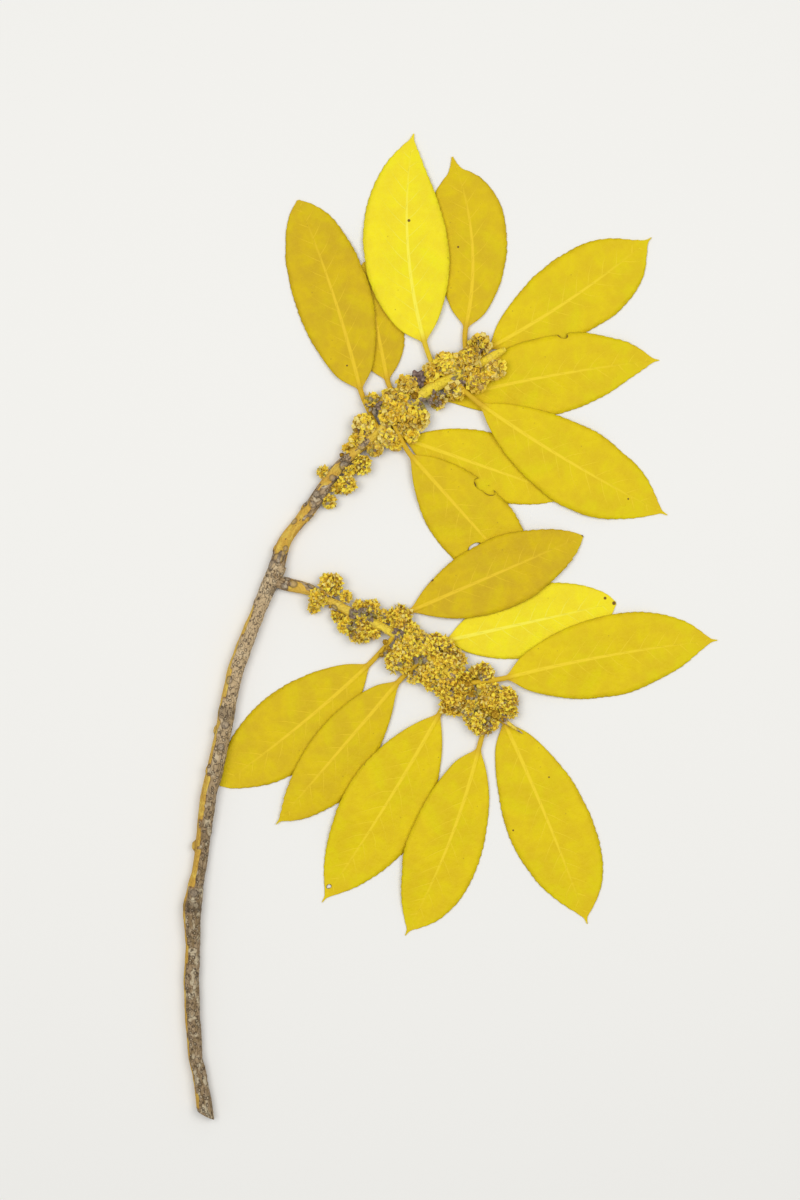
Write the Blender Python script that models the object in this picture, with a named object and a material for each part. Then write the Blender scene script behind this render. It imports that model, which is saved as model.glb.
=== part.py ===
"""A cut branch of holly with its leaves and flowers, dried and pressed flat.

The branch lies on a level surface at Z = 0, as it was cut: a stem with an oblique cut
at its foot, a fork, an upper shoot and a side shoot, seventeen leaves and tufts of small
flowers packed round both shoots. X runs to the right, Y towards the upper shoot.

Sizes are in millimetres. They are turned to metres where a mesh is made.
"""

import math
from collections import namedtuple

import bmesh
import bpy
import numpy as np

MM = 0.001
# Stands in for zero in a division.
TINY = 1e-6

# Edges that turn more than this are shaded sharp.
SHARP_FROM_DEG = 35

# The middle of the branch's own box, which is put at the origin.
BOX_MIDDLE = (0.1, 0.5)

# Clear space between neighbouring pieces.
GAP = 0.3

# A leaf blade's thickness, and the height from one blade's underside to the next above it.
BLADE_THICK = 0.9
BLADE_STEP = BLADE_THICK + 0.45
# How far past the edge of the blade below the blade above stays level, and how far it then
# takes to come down.
DRAPE_LEVEL = 5.0
DRAPE_FALL = 17.0
# The share of a blade's length over which it comes down from its leaf stalk.
LIFT_RUN = 0.38

# A leaf stalk at the blade and at the shoot: half its width, and its thickness.
STALK_HALF_WIDTH = (1.0, 0.85)
STALK_THICK = 1.6
STALK_STATIONS = 4
BLADE_STATIONS = 13
# Places across a blade, from its left edge to its right edge, in half widths.
BLADE_COLUMNS = np.array([-1.0, -0.5, 0.0, 0.5, 1.0])

# A flower tuft's greatest half height beside its shoot and on top of it.
TUFT_HALF_HEIGHT = 4.0
CROWN_HALF_HEIGHT = 2.9
# Points over a tuft's surface for each millimetre of its radius. Every third point is the
# tip of a flower, and the points between lie deeper by this share of the radius.
TUFT_POINTS_PER_MM = 18
FLOWER_DEPTH = 0.17
# Step along a ray from a tuft's middle when looking for what stands in its way, and how much
# of its reach a point keeps each time that a face beside it is drawn in.
RAY_STEP = 0.2
DRAW_IN = 0.93
DRAW_IN_ROUNDS = 30

# Way points: x, y, radius and the height of the underside. The stem rests on the surface
# along its whole length. The flowered part of each shoot is carried by the flowers and the
# leaves under it.
STEM_WAY = [
    (-92.9, -184.8, 3.05, 0.0),
    (-95.3, -169.5, 2.75, 0.0),
    (-97.1, -160.0, 2.75, 0.0),
    (-98.3, -135.3, 2.95, 0.0),
    (-97.8, -119.7, 2.9, 0.0),
    (-97.9, -105.7, 3.4, 0.0),
    (-94.9, -88.6, 2.6, 0.0),
    (-92.0, -65.4, 3.1, 0.0),
    (-87.8, -47.1, 3.15, 0.0),
    (-82.3, -19.4, 3.05, 0.0),
    (-77.2, -4.6, 3.05, 0.0),
    (-72.0, 8.4, 2.8, 0.0),
    (-66.5, 20.9, 3.15, 0.0),
]
UPPER_WAY = [
    (-66.2, 21.6, 3.05, 0.0),
    (-63.0, 32.3, 2.5, 0.0),
    (-57.2, 40.4, 2.15, 0.3),
    (-46.9, 54.4, 2.25, 0.9),
    (-39.3, 63.5, 1.9, 1.4),
    (-23.4, 77.2, 1.75, 1.9),
    (-8.9, 89.3, 1.6, 2.1),
    (2.9, 95.4, 1.4, 2.5),
    (14.3, 101.5, 1.3, 3.2),
    (20.7, 105.3, 0.75, 3.5),
]
SIDE_WAY = [
    (-63.6, 17.0, 2.25, 0.4),
    (-53.5, 14.2, 2.0, 0.6),
    (-37.5, 5.4, 1.8, 1.4),
    (-18.6, -4.0, 1.7, 1.9),
    (0.3, -17.8, 1.6, 2.0),
    (14.9, -29.5, 1.5, 2.1),
    (18.4, -33.8, 1.15, 2.2),
    (27.2, -40.3, 0.35, 2.4),
]

STEM_SPACING = 7.5
SHOOT_SPACING = 5.8
STEM_SIDES = 10
SHOOT_SIDES = 8
# The foot is cut at a slant: millimetres along the stem for each one across it.
FOOT_SLANT = -0.75

# A leaf: where its stalk leaves the shoot (station along it, and degrees round it, with
# 0 its right side, 90 its top and 180 its left side), its blade's base, heading in degrees
# and length, how far its midrib bows to the left, its half width and the place of its
# greatest width on the left and the right, the powers that shape its base and its shoulder,
# the share of its length where the body ends and a narrow point goes on, half the width of
# that point, the height of its base, and the leaves that it lies on.
Leaf = namedtuple(
    "Leaf",
    "name shoot station turn base heading length bow left right powers body_end "
    "point lift over",
)
LEAVES = [
    Leaf("leaf_upper_1", "upper", 67.0, 180, (-34.4, 90.8), 108.3, 75.2, -1.5,
         (14.4, 0.50), (13.7, 0.50), (0.75, 0.66), 1.0, 1.5, 1.6, ["leaf_upper_2"]),
    Leaf("leaf_upper_2", "upper", 79.0, 180, (-24.1, 94.3), 101.1, 45.3, 0.0,
         (9.5, 0.42), (10.3, 0.38), (0.75, 0.75), 1.0, 1.5, 0.8, []),
    Leaf("leaf_upper_3", "upper", 96.0, 165, (-10.1, 108.7), 92.8, 78.8, 4.4,
         (16.3, 0.47), (14.8, 0.42), (0.72, 0.92), 0.97, 1.1, 1.8,
         ["leaf_upper_2", "leaf_upper_4"]),
    Leaf("leaf_upper_4", "upper", 108.0, 180, (5.9, 114.4), 94.7, 64.5, -4.9,
         (13.7, 0.58), (13.7, 0.56), (0.75, 0.62), 0.92, 1.9, 0.9, []),
    Leaf("leaf_upper_5", "upper", 113.5, 175, (15.8, 106.6), 34.4, 73.3, -1.9,
         (15.6, 0.56), (14.8, 0.58), (0.70, 0.58), 0.94, 1.1, 0.5, []),
    Leaf("leaf_upper_6", "upper", 92.5, -10, (-2.1, 86.6), 10.3, 82.7, 1.5,
         (14.4, 0.50), (13.7, 0.50), (0.80, 0.78), 0.97, 1.1, 0.7, ["leaf_upper_5"]),
    Leaf("leaf_upper_7", "upper", 101.0, 60, (12.0, 84.0), -30.5, 81.6, -1.5,
         (14.1, 0.52), (14.8, 0.58), (0.75, 0.62), 0.95, 1.1, 3.0,
         ["leaf_upper_6", "leaf_upper_8"]),
    Leaf("leaf_upper_8", "upper", 64.3, -15, (-16.2, 71.1), -19.2, 67.2, 0.0,
         (12.9, 0.50), (11.8, 0.48), (0.75, 0.70), 0.97, 1.1, 0.7, []),
    Leaf("leaf_upper_9", "upper", 72.5, 60, (-14.6, 64.6), -48.0, 65.0, 0.0,
         (14.1, 0.53), (13.7, 0.53), (0.75, 0.70), 0.97, 1.1, 2.8, ["leaf_upper_8"]),
    Leaf("leaf_side_1", "side", 44.5, 175, (-14.3, 6.5), 23.5, 70.5, 0.0,
         (13.3, 0.50), (14.1, 0.50), (0.75, 0.75), 1.0, 1.1, 1.4,
         ["leaf_upper_9", "leaf_side_2"]),
    Leaf("leaf_side_2", "side", 59.5, 175, (-0.6, -4.9), 12.5, 65.0, 0.0,
         (13.7, 0.54), (13.3, 0.50), (0.75, 0.60), 1.0, 1.9, 0.9, []),
    Leaf("leaf_side_3", "side", 80.0, 110, (21.9, -19.0), 10.0, 80.7, 1.5,
         (15.6, 0.54), (15.6, 0.48), (0.78, 0.70), 0.95, 1.1, 2.6, ["leaf_side_2"]),
    Leaf("leaf_side_4", "side", 47.0, 0, (-31.7, -14.8), -140.9, 72.0, 1.3,
         (13.7, 0.52), (15.2, 0.52), (0.75, 0.68), 1.0, 0.9, 0.6, []),
    Leaf("leaf_side_5", "side", 61.0, 0, (-20.3, -21.3), -130.6, 70.6, 0.0,
         (13.7, 0.56), (10.6, 0.45), (0.75, 0.62), 0.95, 1.1, 1.0, ["leaf_side_4"]),
    Leaf("leaf_side_6", "side", 77.5, 0, (-4.8, -33.8), -121.9, 83.3, 1.0,
         (14.8, 0.52), (15.2, 0.46), (0.70, 0.64), 0.95, 1.1, 1.0, ["leaf_side_5"]),
    Leaf("leaf_side_7", "side", 94.0, 0, (10.5, -46.8), -111.5, 75.6, 2.5,
         (14.1, 0.56), (14.4, 0.52), (0.75, 0.62), 0.95, 1.1, 1.2, ["leaf_side_6"]),
    Leaf("leaf_side_8", "side", 96.0, -50, (20.7, -36.9), -67.6, 82.0, 1.0,
         (16.0, 0.55), (15.2, 0.56), (0.72, 0.60), 0.95, 1.1, 0.5, []),
]

# A tuft of flowers: its station along the shoot, how far its middle lies to the left of the
# shoot, and its radius.
Tuft = namedtuple("Tuft", "station offset radius")
UPPER_TUFTS = [
    Tuft(33.5, -4.8, 2.8),
    Tuft(43.0, -6.2, 3.8),
    Tuft(53.0, -5.0, 4.0),
    Tuft(41.2, 3.6, 2.0),
    Tuft(63.7, 5.3, 5.0),
    Tuft(61.0, -3.9, 2.7),
    Tuft(67.8, -4.0, 4.0),
    Tuft(71.7, 10.2, 3.4),
    Tuft(78.4, 6.2, 5.3),
    Tuft(85.8, 6.2, 4.5),
    Tuft(80.7, -5.0, 6.0),
    Tuft(73.8, 1.0, 5.4),
    Tuft(100.8, 6.0, 5.0),
    Tuft(91.7, -4.2, 4.0),
    Tuft(100.3, -4.4, 4.4),
    Tuft(109.5, 4.6, 3.2),
    Tuft(116.2, 6.2, 4.6),
    Tuft(108.6, -4.8, 5.0),
    Tuft(116.5, -4.2, 4.8),
    Tuft(109.5, 0.2, 4.4),
]
SIDE_TUFTS = [
    Tuft(16.7, 5.4, 5.0),
    Tuft(14.8, -1.2, 4.0),
    Tuft(24.3, -3.0, 2.6),
    Tuft(34.7, -4.6, 5.5),
    Tuft(34.7, 4.8, 3.8),
    Tuft(45.9, 5.9, 5.4),
    Tuft(51.9, 4.2, 3.4),
    Tuft(52.5, -8.7, 4.2),
    Tuft(52.9, -3.6, 4.4),
    Tuft(61.7, 4.7, 6.2),
    Tuft(65.9, -5.1, 5.2),
    Tuft(70.7, 4.5, 5.2),
    Tuft(80.4, -8.1, 5.5),
    Tuft(82.6, 6.8, 5.4),
    Tuft(95.0, -6.6, 5.4),
    Tuft(94.3, 5.3, 6.0),
    Tuft(79.8, -0.1, 5.4),
    Tuft(90.3, 0.6, 5.2),
    Tuft(74.8, -4.1, 5.2),
]
# A dried, dark bud among the upper tufts.
OLD_BUD = Tuft(90.5, 5.2, 2.8)

# Finish: sRGB colour and roughness.
FINISHES = {
    "bark": ("8F8468", 0.8),
    "shoot_bark": ("B5953C", 0.75),
    "leaf_gold": ("D9C52B", 0.5),
    "leaf_bright": ("E6D83A", 0.5),
    "leaf_ochre": ("C9AF30", 0.5),
    "flowers": ("C9A02C", 0.7),
    "old_bud": ("7A6748", 0.8),
}
BRIGHT_LEAVES = {"leaf_upper_3", "leaf_side_2"}
OCHRE_LEAVES = {
    "leaf_upper_1", "leaf_upper_2", "leaf_upper_4", "leaf_side_1", "leaf_side_4", "leaf_side_5",
}


def smooth_step(low, high, value):
    """Zero below low, one above high, and 3t^2 - 2t^3 between them."""
    t = np.clip((value - low) / (high - low), 0.0, 1.0)
    return t * t * (3.0 - 2.0 * t)


def smooth_way(way_points, spacing):
    """Samples of a Catmull-Rom curve through the way points, evenly spaced along it."""
    knots = np.array(way_points, dtype=float)
    padded = np.vstack([2 * knots[0] - knots[1], knots, 2 * knots[-1] - knots[-2]])
    t = np.linspace(0.0, 1.0, 24, endpoint=False)[:, None]
    stretches = []
    for a, b, c, d in zip(padded, padded[1:], padded[2:], padded[3:]):
        stretches.append(
            0.5 * (2 * b + (c - a) * t + (2 * a - 5 * b + 4 * c - d) * t**2
                   + (3 * b - a - 3 * c + d) * t**3)
        )
    fine = np.vstack(stretches + [knots[-1:]])
    steps = np.hypot(*np.diff(fine[:, :2], axis=0).T)
    along = np.concatenate([[0.0], np.cumsum(steps)])
    stations = np.linspace(0.0, along[-1], max(2, round(along[-1] / spacing)) + 1)
    return stations, np.stack([np.interp(stations, along, col) for col in fine.T], axis=1)


Limb = namedtuple("Limb", "stations centre radius")


def make_limb(way_points, spacing):
    """A limb's stations, centre points and radii."""
    stations, samples = smooth_way(way_points, spacing)
    radius = samples[:, 2]
    centre = np.column_stack([samples[:, :2] - BOX_MIDDLE, radius + np.maximum(samples[:, 3], 0)])
    return Limb(stations, centre, radius)


STEM = make_limb(STEM_WAY, STEM_SPACING)
SHOOTS = {
    "upper": make_limb(UPPER_WAY, SHOOT_SPACING),
    "side": make_limb(SIDE_WAY, SHOOT_SPACING),
}


def limb_frame(limb, station):
    """Centre, forward direction, leftward direction and radius of a limb at a station."""
    centre = np.array([np.interp(station, limb.stations, c) for c in limb.centre.T])
    ahead = np.array([np.interp(station + 2.0, limb.stations, c) for c in limb.centre.T])
    behind = np.array([np.interp(station - 2.0, limb.stations, c) for c in limb.centre.T])
    forward = ahead - behind
    forward[2] = 0.0
    forward /= np.linalg.norm(forward)
    leftward = np.array([-forward[1], forward[0], 0.0])
    return centre, forward, leftward, np.interp(station, limb.stations, limb.radius)


def blade_midrib(leaf, run):
    """Midrib points and unit leftward normals at the given shares of the blade's length:
    a straight line with a parabolic bow added to its left."""
    angle = math.radians(leaf.heading)
    ahead = np.array([math.cos(angle), math.sin(angle)])
    left = np.array([-ahead[1], ahead[0]])
    base = np.array(leaf.base) - BOX_MIDDLE
    run = np.asarray(run, dtype=float)[:, None]
    points = base + ahead * leaf.length * run + left * 4 * leaf.bow * run * (1 - run)
    tangent = ahead * leaf.length + left * 4 * leaf.bow * (1 - 2 * run)
    tangent /= np.linalg.norm(tangent, axis=1)[:, None]
    return points, np.column_stack([-tangent[:, 1], tangent[:, 0]])


def blade_half_width(leaf, run, side):
    """Half width on one side: a sine arch raised to a power up to the widest place, a cosine
    arch raised to another from there to the end of the body, then a narrow point."""
    half, widest = side
    base_power, shoulder_power = leaf.powers
    rising = np.sin(0.5 * math.pi * np.clip(run / widest, 0, 1)) ** base_power
    fall = np.clip((run - widest) / (leaf.body_end - widest), 0, 1)
    falling = np.maximum(np.cos(0.5 * math.pi * fall), 0.0) ** shoulder_power
    body = half * np.where(run < widest, rising, falling)
    point = np.where(run > 0.7, leaf.point * np.clip((1 - run) / 0.12, 0.12, 1), 0.0)
    base = STALK_HALF_WIDTH[0] * (run < 0.3)
    return np.maximum(np.maximum(body, point), base)


def blade_outline(leaf):
    """The blade's outline as a closed polygon in plan."""
    run = np.linspace(0.0, 1.0, 31)
    midrib, left = blade_midrib(leaf, run)
    left_edge = midrib + left * blade_half_width(leaf, run, leaf.left)[:, None]
    right_edge = midrib - left * blade_half_width(leaf, run, leaf.right)[:, None]
    return np.vstack([left_edge, right_edge[::-1]])


def distance_outside(outline, points):
    """Distance in plan from points to a polygon, zero inside it."""
    start = outline[None, :, :]
    end = np.roll(outline, -1, axis=0)[None, :, :]
    place = points[:, None, :]
    edge = end - start
    length = np.maximum((edge**2).sum(axis=2), TINY)
    share = np.clip(((place - start) * edge).sum(axis=2) / length, 0.0, 1.0)
    nearest = np.sqrt(((place - start - edge * share[..., None]) ** 2).sum(axis=2)).min(axis=1)
    crosses = (start[..., 1] > place[..., 1]) != (end[..., 1] > place[..., 1])
    rise = np.where(np.abs(edge[..., 1]) < TINY, TINY, edge[..., 1])
    cut = start[..., 0] + (place[..., 1] - start[..., 1]) * edge[..., 0] / rise
    inside = (crosses & (place[..., 0] < cut)).sum(axis=1) % 2 == 1
    return np.where(inside, 0.0, nearest)


LEAF_BY_NAME = {leaf.name: leaf for leaf in LEAVES}
OUTLINES = {leaf.name: blade_outline(leaf) for leaf in LEAVES}


def blade_underside(leaf, points):
    """Height of a blade's underside over points in plan. It comes down from its base to the
    surface, and is carried over each blade below by one step, level as far as a little past
    that blade's edge. The heights are joined by the fourth root of their fourth powers."""
    angle = math.radians(leaf.heading)
    from_base = points - (np.array(leaf.base) - BOX_MIDDLE)
    run = (from_base @ [math.cos(angle), math.sin(angle)]) / leaf.length
    total = (leaf.lift * (1.0 - smooth_step(0.0, LIFT_RUN, run))) ** 4
    for name in leaf.over:
        away = distance_outside(OUTLINES[name], points)
        weight = 1.0 - smooth_step(DRAPE_LEVEL, DRAPE_LEVEL + DRAPE_FALL, away)
        carried = blade_underside(LEAF_BY_NAME[name], points) + BLADE_STEP
        total = total + (weight * carried) ** 4
    return total**0.25


def stalk_path(leaf):
    """Centre points of a leaf stalk from its shoot to the blade's base, with its half widths.
    In plan it is a cubic curve that ends along the midrib."""
    centre, forward, leftward, radius = limb_frame(SHOOTS[leaf.shoot], leaf.station)
    turn = math.radians(leaf.turn)
    outward = -leftward * math.cos(turn) + np.array([0.0, 0.0, math.sin(turn)])
    blade_start = np.append(np.array(leaf.base) - BOX_MIDDLE, leaf.lift + BLADE_THICK / 2)
    heading = blade_start - centre
    heading[2] = 0.0
    heading /= np.linalg.norm(heading)
    corner = STALK_HALF_WIDTH[1] * abs(heading @ forward)
    above = 0.5 * STALK_THICK * abs(math.sin(turn))
    first = centre + outward * (radius + GAP + max(corner, above))
    left = blade_midrib(leaf, [0.0])[1][0]
    ahead = np.array([left[1], -left[0], 0.0])
    reach = np.linalg.norm(blade_start[:2] - first[:2]) / 3
    second = first + (blade_start - first) / 3
    third = blade_start - ahead * reach
    t = np.linspace(0.0, 1.0, STALK_STATIONS + 1)[:, None]
    path = ((1 - t)**3 * first + 3 * (1 - t)**2 * t * second
            + 3 * (1 - t) * t**2 * third + t**3 * blade_start)
    widths = np.interp(t[:, 0], [0.0, 1.0], STALK_HALF_WIDTH[::-1])
    return path, widths


def leaf_rings(leaf):
    """Cross sections of a leaf from the foot of its stalk to its tip. Each holds the points
    of the upper side from left to right, then those of the underside from right to left."""
    columns = BLADE_COLUMNS
    path, widths = stalk_path(leaf)
    rings = []
    for index in range(STALK_STATIONS):
        forward = path[index + 1] - path[index]
        forward /= np.linalg.norm(forward[:2])
        right = np.array([forward[1], -forward[0]])
        plan = path[index, :2] + right * (widths[index] * columns)[:, None]
        half = 0.5 * STALK_THICK * (1.0 - 0.5 * columns**2)
        upper = np.column_stack([plan, path[index, 2] + half])
        under = np.column_stack([plan, np.maximum(path[index, 2] - half, 0.0)])
        rings.append(np.vstack([upper, under[::-1]]))
    even = np.linspace(0.0, 1.0, BLADE_STATIONS)
    run = even - 0.1 * np.sin(2 * math.pi * even)
    midrib, left = blade_midrib(leaf, run)
    left_half = blade_half_width(leaf, run, leaf.left)
    right_half = blade_half_width(leaf, run, leaf.right)
    for place, leftward, to_left, to_right in zip(midrib, left, left_half, right_half):
        reach = np.where(columns < 0, -to_left, to_right) * np.abs(columns)
        plan = place - leftward * reach[:, None]
        height = blade_underside(leaf, plan)
        upper = np.column_stack([plan, height + BLADE_THICK])
        under = np.column_stack([plan, height])
        rings.append(np.vstack([upper, under[::-1]]))
    return rings


def limb_rings(limb, sides, foot_slant=0.0):
    """Round cross sections of a limb, with a corner straight down. A foot slant pushes the
    first section along the limb by that much for each millimetre across it."""
    turn = np.linspace(0.0, 2 * math.pi, sides, endpoint=False) - 0.5 * math.pi
    ahead = np.gradient(limb.centre, axis=0)
    right = np.cross(ahead, [0.0, 0.0, 1.0])
    right /= np.linalg.norm(right, axis=1)[:, None]
    across = limb.radius[:, None] * np.cos(turn)
    upward = limb.radius[:, None] * np.sin(turn)
    rings = limb.centre[:, None] + across[..., None] * right[:, None]
    rings[..., 2] += upward
    foot_ahead = ahead[0] / np.linalg.norm(ahead[0])
    rings[0] += (foot_slant * across[0])[:, None] * foot_ahead
    return rings


def tube_clearance(centre, radius, points):
    """Distance from points to the surface of a tube with a varying radius, negative inside."""
    start, end = centre[:-1][None], centre[1:][None]
    span = end - start
    share = ((points[:, None] - start) * span).sum(axis=2) / (span**2).sum(axis=2)
    share = np.clip(share, 0.0, 1.0)
    away = np.linalg.norm(points[:, None] - start - span * share[..., None], axis=2)
    local = radius[:-1] + (radius[1:] - radius[:-1]) * share
    return (away - local).min(axis=1)


STALKS = {leaf.name: stalk_path(leaf) for leaf in LEAVES}


def leaves_near(place, reach):
    """The leaves whose stalk or blade comes within reach of a place."""
    near = []
    for leaf in LEAVES:
        to_stalk = tube_clearance(*STALKS[leaf.name], place[None])[0]
        to_blade = distance_outside(OUTLINES[leaf.name], place[None, :2])[0]
        if min(to_stalk, to_blade) < reach:
            near.append(leaf)
    return near


def blocked(points, leaves):
    """Whether points lie in a limb, a leaf stalk or a blade, or closer to it than the gap."""
    hit = tube_clearance(STEM.centre, STEM.radius, points) < GAP
    for shoot in SHOOTS.values():
        hit |= tube_clearance(shoot.centre, shoot.radius, points) < GAP
    for leaf in leaves:
        hit |= tube_clearance(*STALKS[leaf.name], points) < GAP
        near = (distance_outside(OUTLINES[leaf.name], points[:, :2]) < GAP) & ~hit
        if near.any():
            height = blade_underside(leaf, points[near, :2])
            level = points[near, 2]
            hit[near] = (level > height - GAP) & (level < height + BLADE_THICK + GAP)
    return hit


def tuft_middle(tuft, shoot):
    """A tuft's middle, its half height and the leaves near it. Beside its shoot it lies on
    the surface or level with the shoot, and a tuft over the shoot sits on top of it. It is
    raised clear of any blade or stalk."""
    centre, _, leftward, radius = limb_frame(SHOOTS[shoot], tuft.station)
    middle = centre + leftward * tuft.offset
    leaves = leaves_near(middle, tuft.radius + 2.0)
    if abs(tuft.offset) > radius + GAP:
        half_height = min(tuft.radius, TUFT_HALF_HEIGHT)
        middle[2] = max(half_height, centre[2])
    else:
        half_height = min(tuft.radius, CROWN_HALF_HEIGHT)
        middle[2] = centre[2] + radius + 2 * GAP
    while blocked(middle[None], leaves).any():
        middle[2] += RAY_STEP
    return middle, half_height, leaves


def even_directions(count, seed):
    """Unit vectors spread evenly over a ball by the golden angle, turned by the seed."""
    index = np.arange(count)
    height = 1.0 - (2 * index + 1) / count
    turn = index * math.pi * (3 - math.sqrt(5)) + seed
    flat = np.sqrt(1.0 - height**2)
    return np.column_stack([flat * np.cos(turn), flat * np.sin(turn), height])


def hull_faces(directions):
    """Triangles of the convex hull of points on a ball."""
    shell = bmesh.new()
    for direction in directions:
        shell.verts.new(direction)
    shell.verts.index_update()
    bmesh.ops.convex_hull(shell, input=shell.verts)
    bmesh.ops.triangulate(shell, faces=shell.faces)
    faces = [[vert.index for vert in face.verts] for face in shell.faces]
    shell.free()
    return faces


def surface_samples(points, faces):
    """Places on each triangle: its middle, and two points of each edge."""
    a, b, c = (points[faces[:, i]] for i in range(3))
    places = [(a + b + c) / 3]
    for start, end in ((a, b), (b, c), (c, a)):
        places += [(2 * start + end) / 3, (start + 2 * end) / 3]
    return np.stack(places, axis=1)


def tuft_shape(index, middles, sizes, leaves):
    """Points and faces of a tuft: a flattened ball with a tip for each flower. A ray from its
    middle stops short of the surface below, of the plane between it and each neighbour, and
    of any limb, stalk or blade. Faces that still cut one are drawn in until they are clear."""
    middle = middles[index]
    radius, half_height = sizes[index]
    count = round(TUFT_POINTS_PER_MM * radius)
    rays = even_directions(count, seed=index)
    faces = np.array(hull_faces(rays))
    free = 1.0 / np.sqrt((rays[:, 0]**2 + rays[:, 1]**2) / radius**2
                         + rays[:, 2]**2 / half_height**2)
    free *= np.where(np.arange(count) % 3 == 0, 1.0, 1.0 - FLOWER_DEPTH)
    down = np.maximum(-rays[:, 2], TINY)
    reach = np.minimum(free, middle[2] / down)
    for other, (other_middle, (other_radius, _)) in enumerate(zip(middles, sizes)):
        apart = other_middle - middle
        distance = np.linalg.norm(apart)
        if other == index or distance > radius + other_radius + GAP:
            continue
        to_plane = distance * radius / (radius + other_radius) - GAP / 2
        towards = np.maximum(rays @ (apart / distance), TINY)
        reach = np.minimum(reach, to_plane / towards)
    steps = np.arange(0.0, radius + RAY_STEP, RAY_STEP)
    marks = middle + rays[:, None, :] * steps[None, :, None]
    hits = blocked(marks.reshape(-1, 3), leaves).reshape(count, len(steps))
    first = np.where(hits.any(axis=1), hits.argmax(axis=1), len(steps))
    stop = np.where(first < len(steps), np.maximum(first - 1, 0.5) * RAY_STEP, np.inf)
    reach = np.minimum(reach, stop)
    for _ in range(DRAW_IN_ROUNDS):
        samples = surface_samples(middle + rays * reach[:, None], faces)
        cut = blocked(samples.reshape(-1, 3), leaves).reshape(samples.shape[:2]).any(axis=1)
        if not cut.any():
            break
        reach[np.unique(faces[cut])] *= DRAW_IN
    return middle + rays * reach[:, None], faces


def srgb_to_linear(code):
    """Linear RGBA of an sRGB hex colour."""
    parts = [int(code[i:i + 2], 16) / 255 for i in (0, 2, 4)]
    return [p / 12.92 if p <= 0.04045 else ((p + 0.055) / 1.055) ** 2.4 for p in parts] + [1.0]


def make_material(name, finish):
    """A plain Principled material."""
    colour, roughness = FINISHES[finish]
    material = bpy.data.materials.new(name)
    material.use_nodes = True
    shader = material.node_tree.nodes["Principled BSDF"]
    shader.inputs["Base Color"].default_value = srgb_to_linear(colour)
    shader.inputs["Roughness"].default_value = roughness
    shader.inputs["Metallic"].default_value = 0.0
    return material


def add_piece(name, points, faces, finish):
    """A named object from points in millimetres, with its faces turned outwards."""
    shell = bmesh.new()
    verts = [shell.verts.new(point) for point in np.asarray(points) * MM]
    for face in faces:
        shell.faces.new([verts[i] for i in face])
    bmesh.ops.recalc_face_normals(shell, faces=shell.faces)
    mesh = bpy.data.meshes.new(name)
    shell.to_mesh(mesh)
    shell.free()
    mesh.shade_smooth()
    mesh.set_sharp_from_angle(angle=math.radians(SHARP_FROM_DEG))
    mesh.materials.append(make_material(name, finish))
    piece = bpy.data.objects.new(name, mesh)
    bpy.context.scene.collection.objects.link(piece)
    return piece


def skin(rings):
    """Points and faces of a closed body through cross sections of equal count."""
    count = len(rings[0])
    faces = [list(range(count))[::-1]]
    for row in range(len(rings) - 1):
        start = row * count
        for col in range(count):
            nxt = (col + 1) % count
            faces.append([start + col, start + nxt, start + count + nxt, start + count + col])
    last = (len(rings) - 1) * count
    faces.append(list(range(last, last + count)))
    return np.vstack(rings), faces


def make_limbs():
    """The stem from its cut foot to the fork, and the two shoots that leave it."""
    points, faces = skin(limb_rings(STEM, STEM_SIDES, FOOT_SLANT))
    add_piece("main_stem", points, faces, "bark")
    for name, shoot in SHOOTS.items():
        points, faces = skin(limb_rings(shoot, SHOOT_SIDES))
        add_piece(f"{name}_shoot", points, faces, "shoot_bark")


def make_leaves():
    """Each blade with its stalk as one body."""
    for leaf in LEAVES:
        points, faces = skin(leaf_rings(leaf))
        finish = "leaf_gold"
        if leaf.name in BRIGHT_LEAVES:
            finish = "leaf_bright"
        elif leaf.name in OCHRE_LEAVES:
            finish = "leaf_ochre"
        add_piece(leaf.name, points, faces, finish)


def make_tufts():
    """The tufts of both shoots and the dried bud, each kept to its own space."""
    rows = [(f"flowers_upper_{i:02d}", tuft, "upper") for i, tuft in enumerate(UPPER_TUFTS, 1)]
    rows += [(f"flowers_side_{i:02d}", tuft, "side") for i, tuft in enumerate(SIDE_TUFTS, 1)]
    rows.append(("old_bud", OLD_BUD, "upper"))
    placed = [tuft_middle(tuft, shoot) for _, tuft, shoot in rows]
    middles = [middle for middle, _, _ in placed]
    sizes = [(row[1].radius, half) for row, (_, half, _) in zip(rows, placed)]
    for index, (name, _, _) in enumerate(rows):
        points, faces = tuft_shape(index, middles, sizes, placed[index][2])
        add_piece(name, points, faces, "old_bud" if name == "old_bud" else "flowers")


for old in list(bpy.data.objects):
    bpy.data.objects.remove(old, do_unlink=True)

make_limbs()
make_leaves()
make_tufts()
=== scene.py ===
"""The looks of a cut branch of holly, dried and pressed flat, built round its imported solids.

A grey stem with an oblique cut foot forks into two flowering shoots, which carry seventeen
leaves. The branch lies on a level surface at Z = 0. X runs to the right, Y towards the upper
shoot. Sizes are in millimetres, and are turned to metres where a mesh is made.
"""

import itertools
import math
from collections import namedtuple

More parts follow.
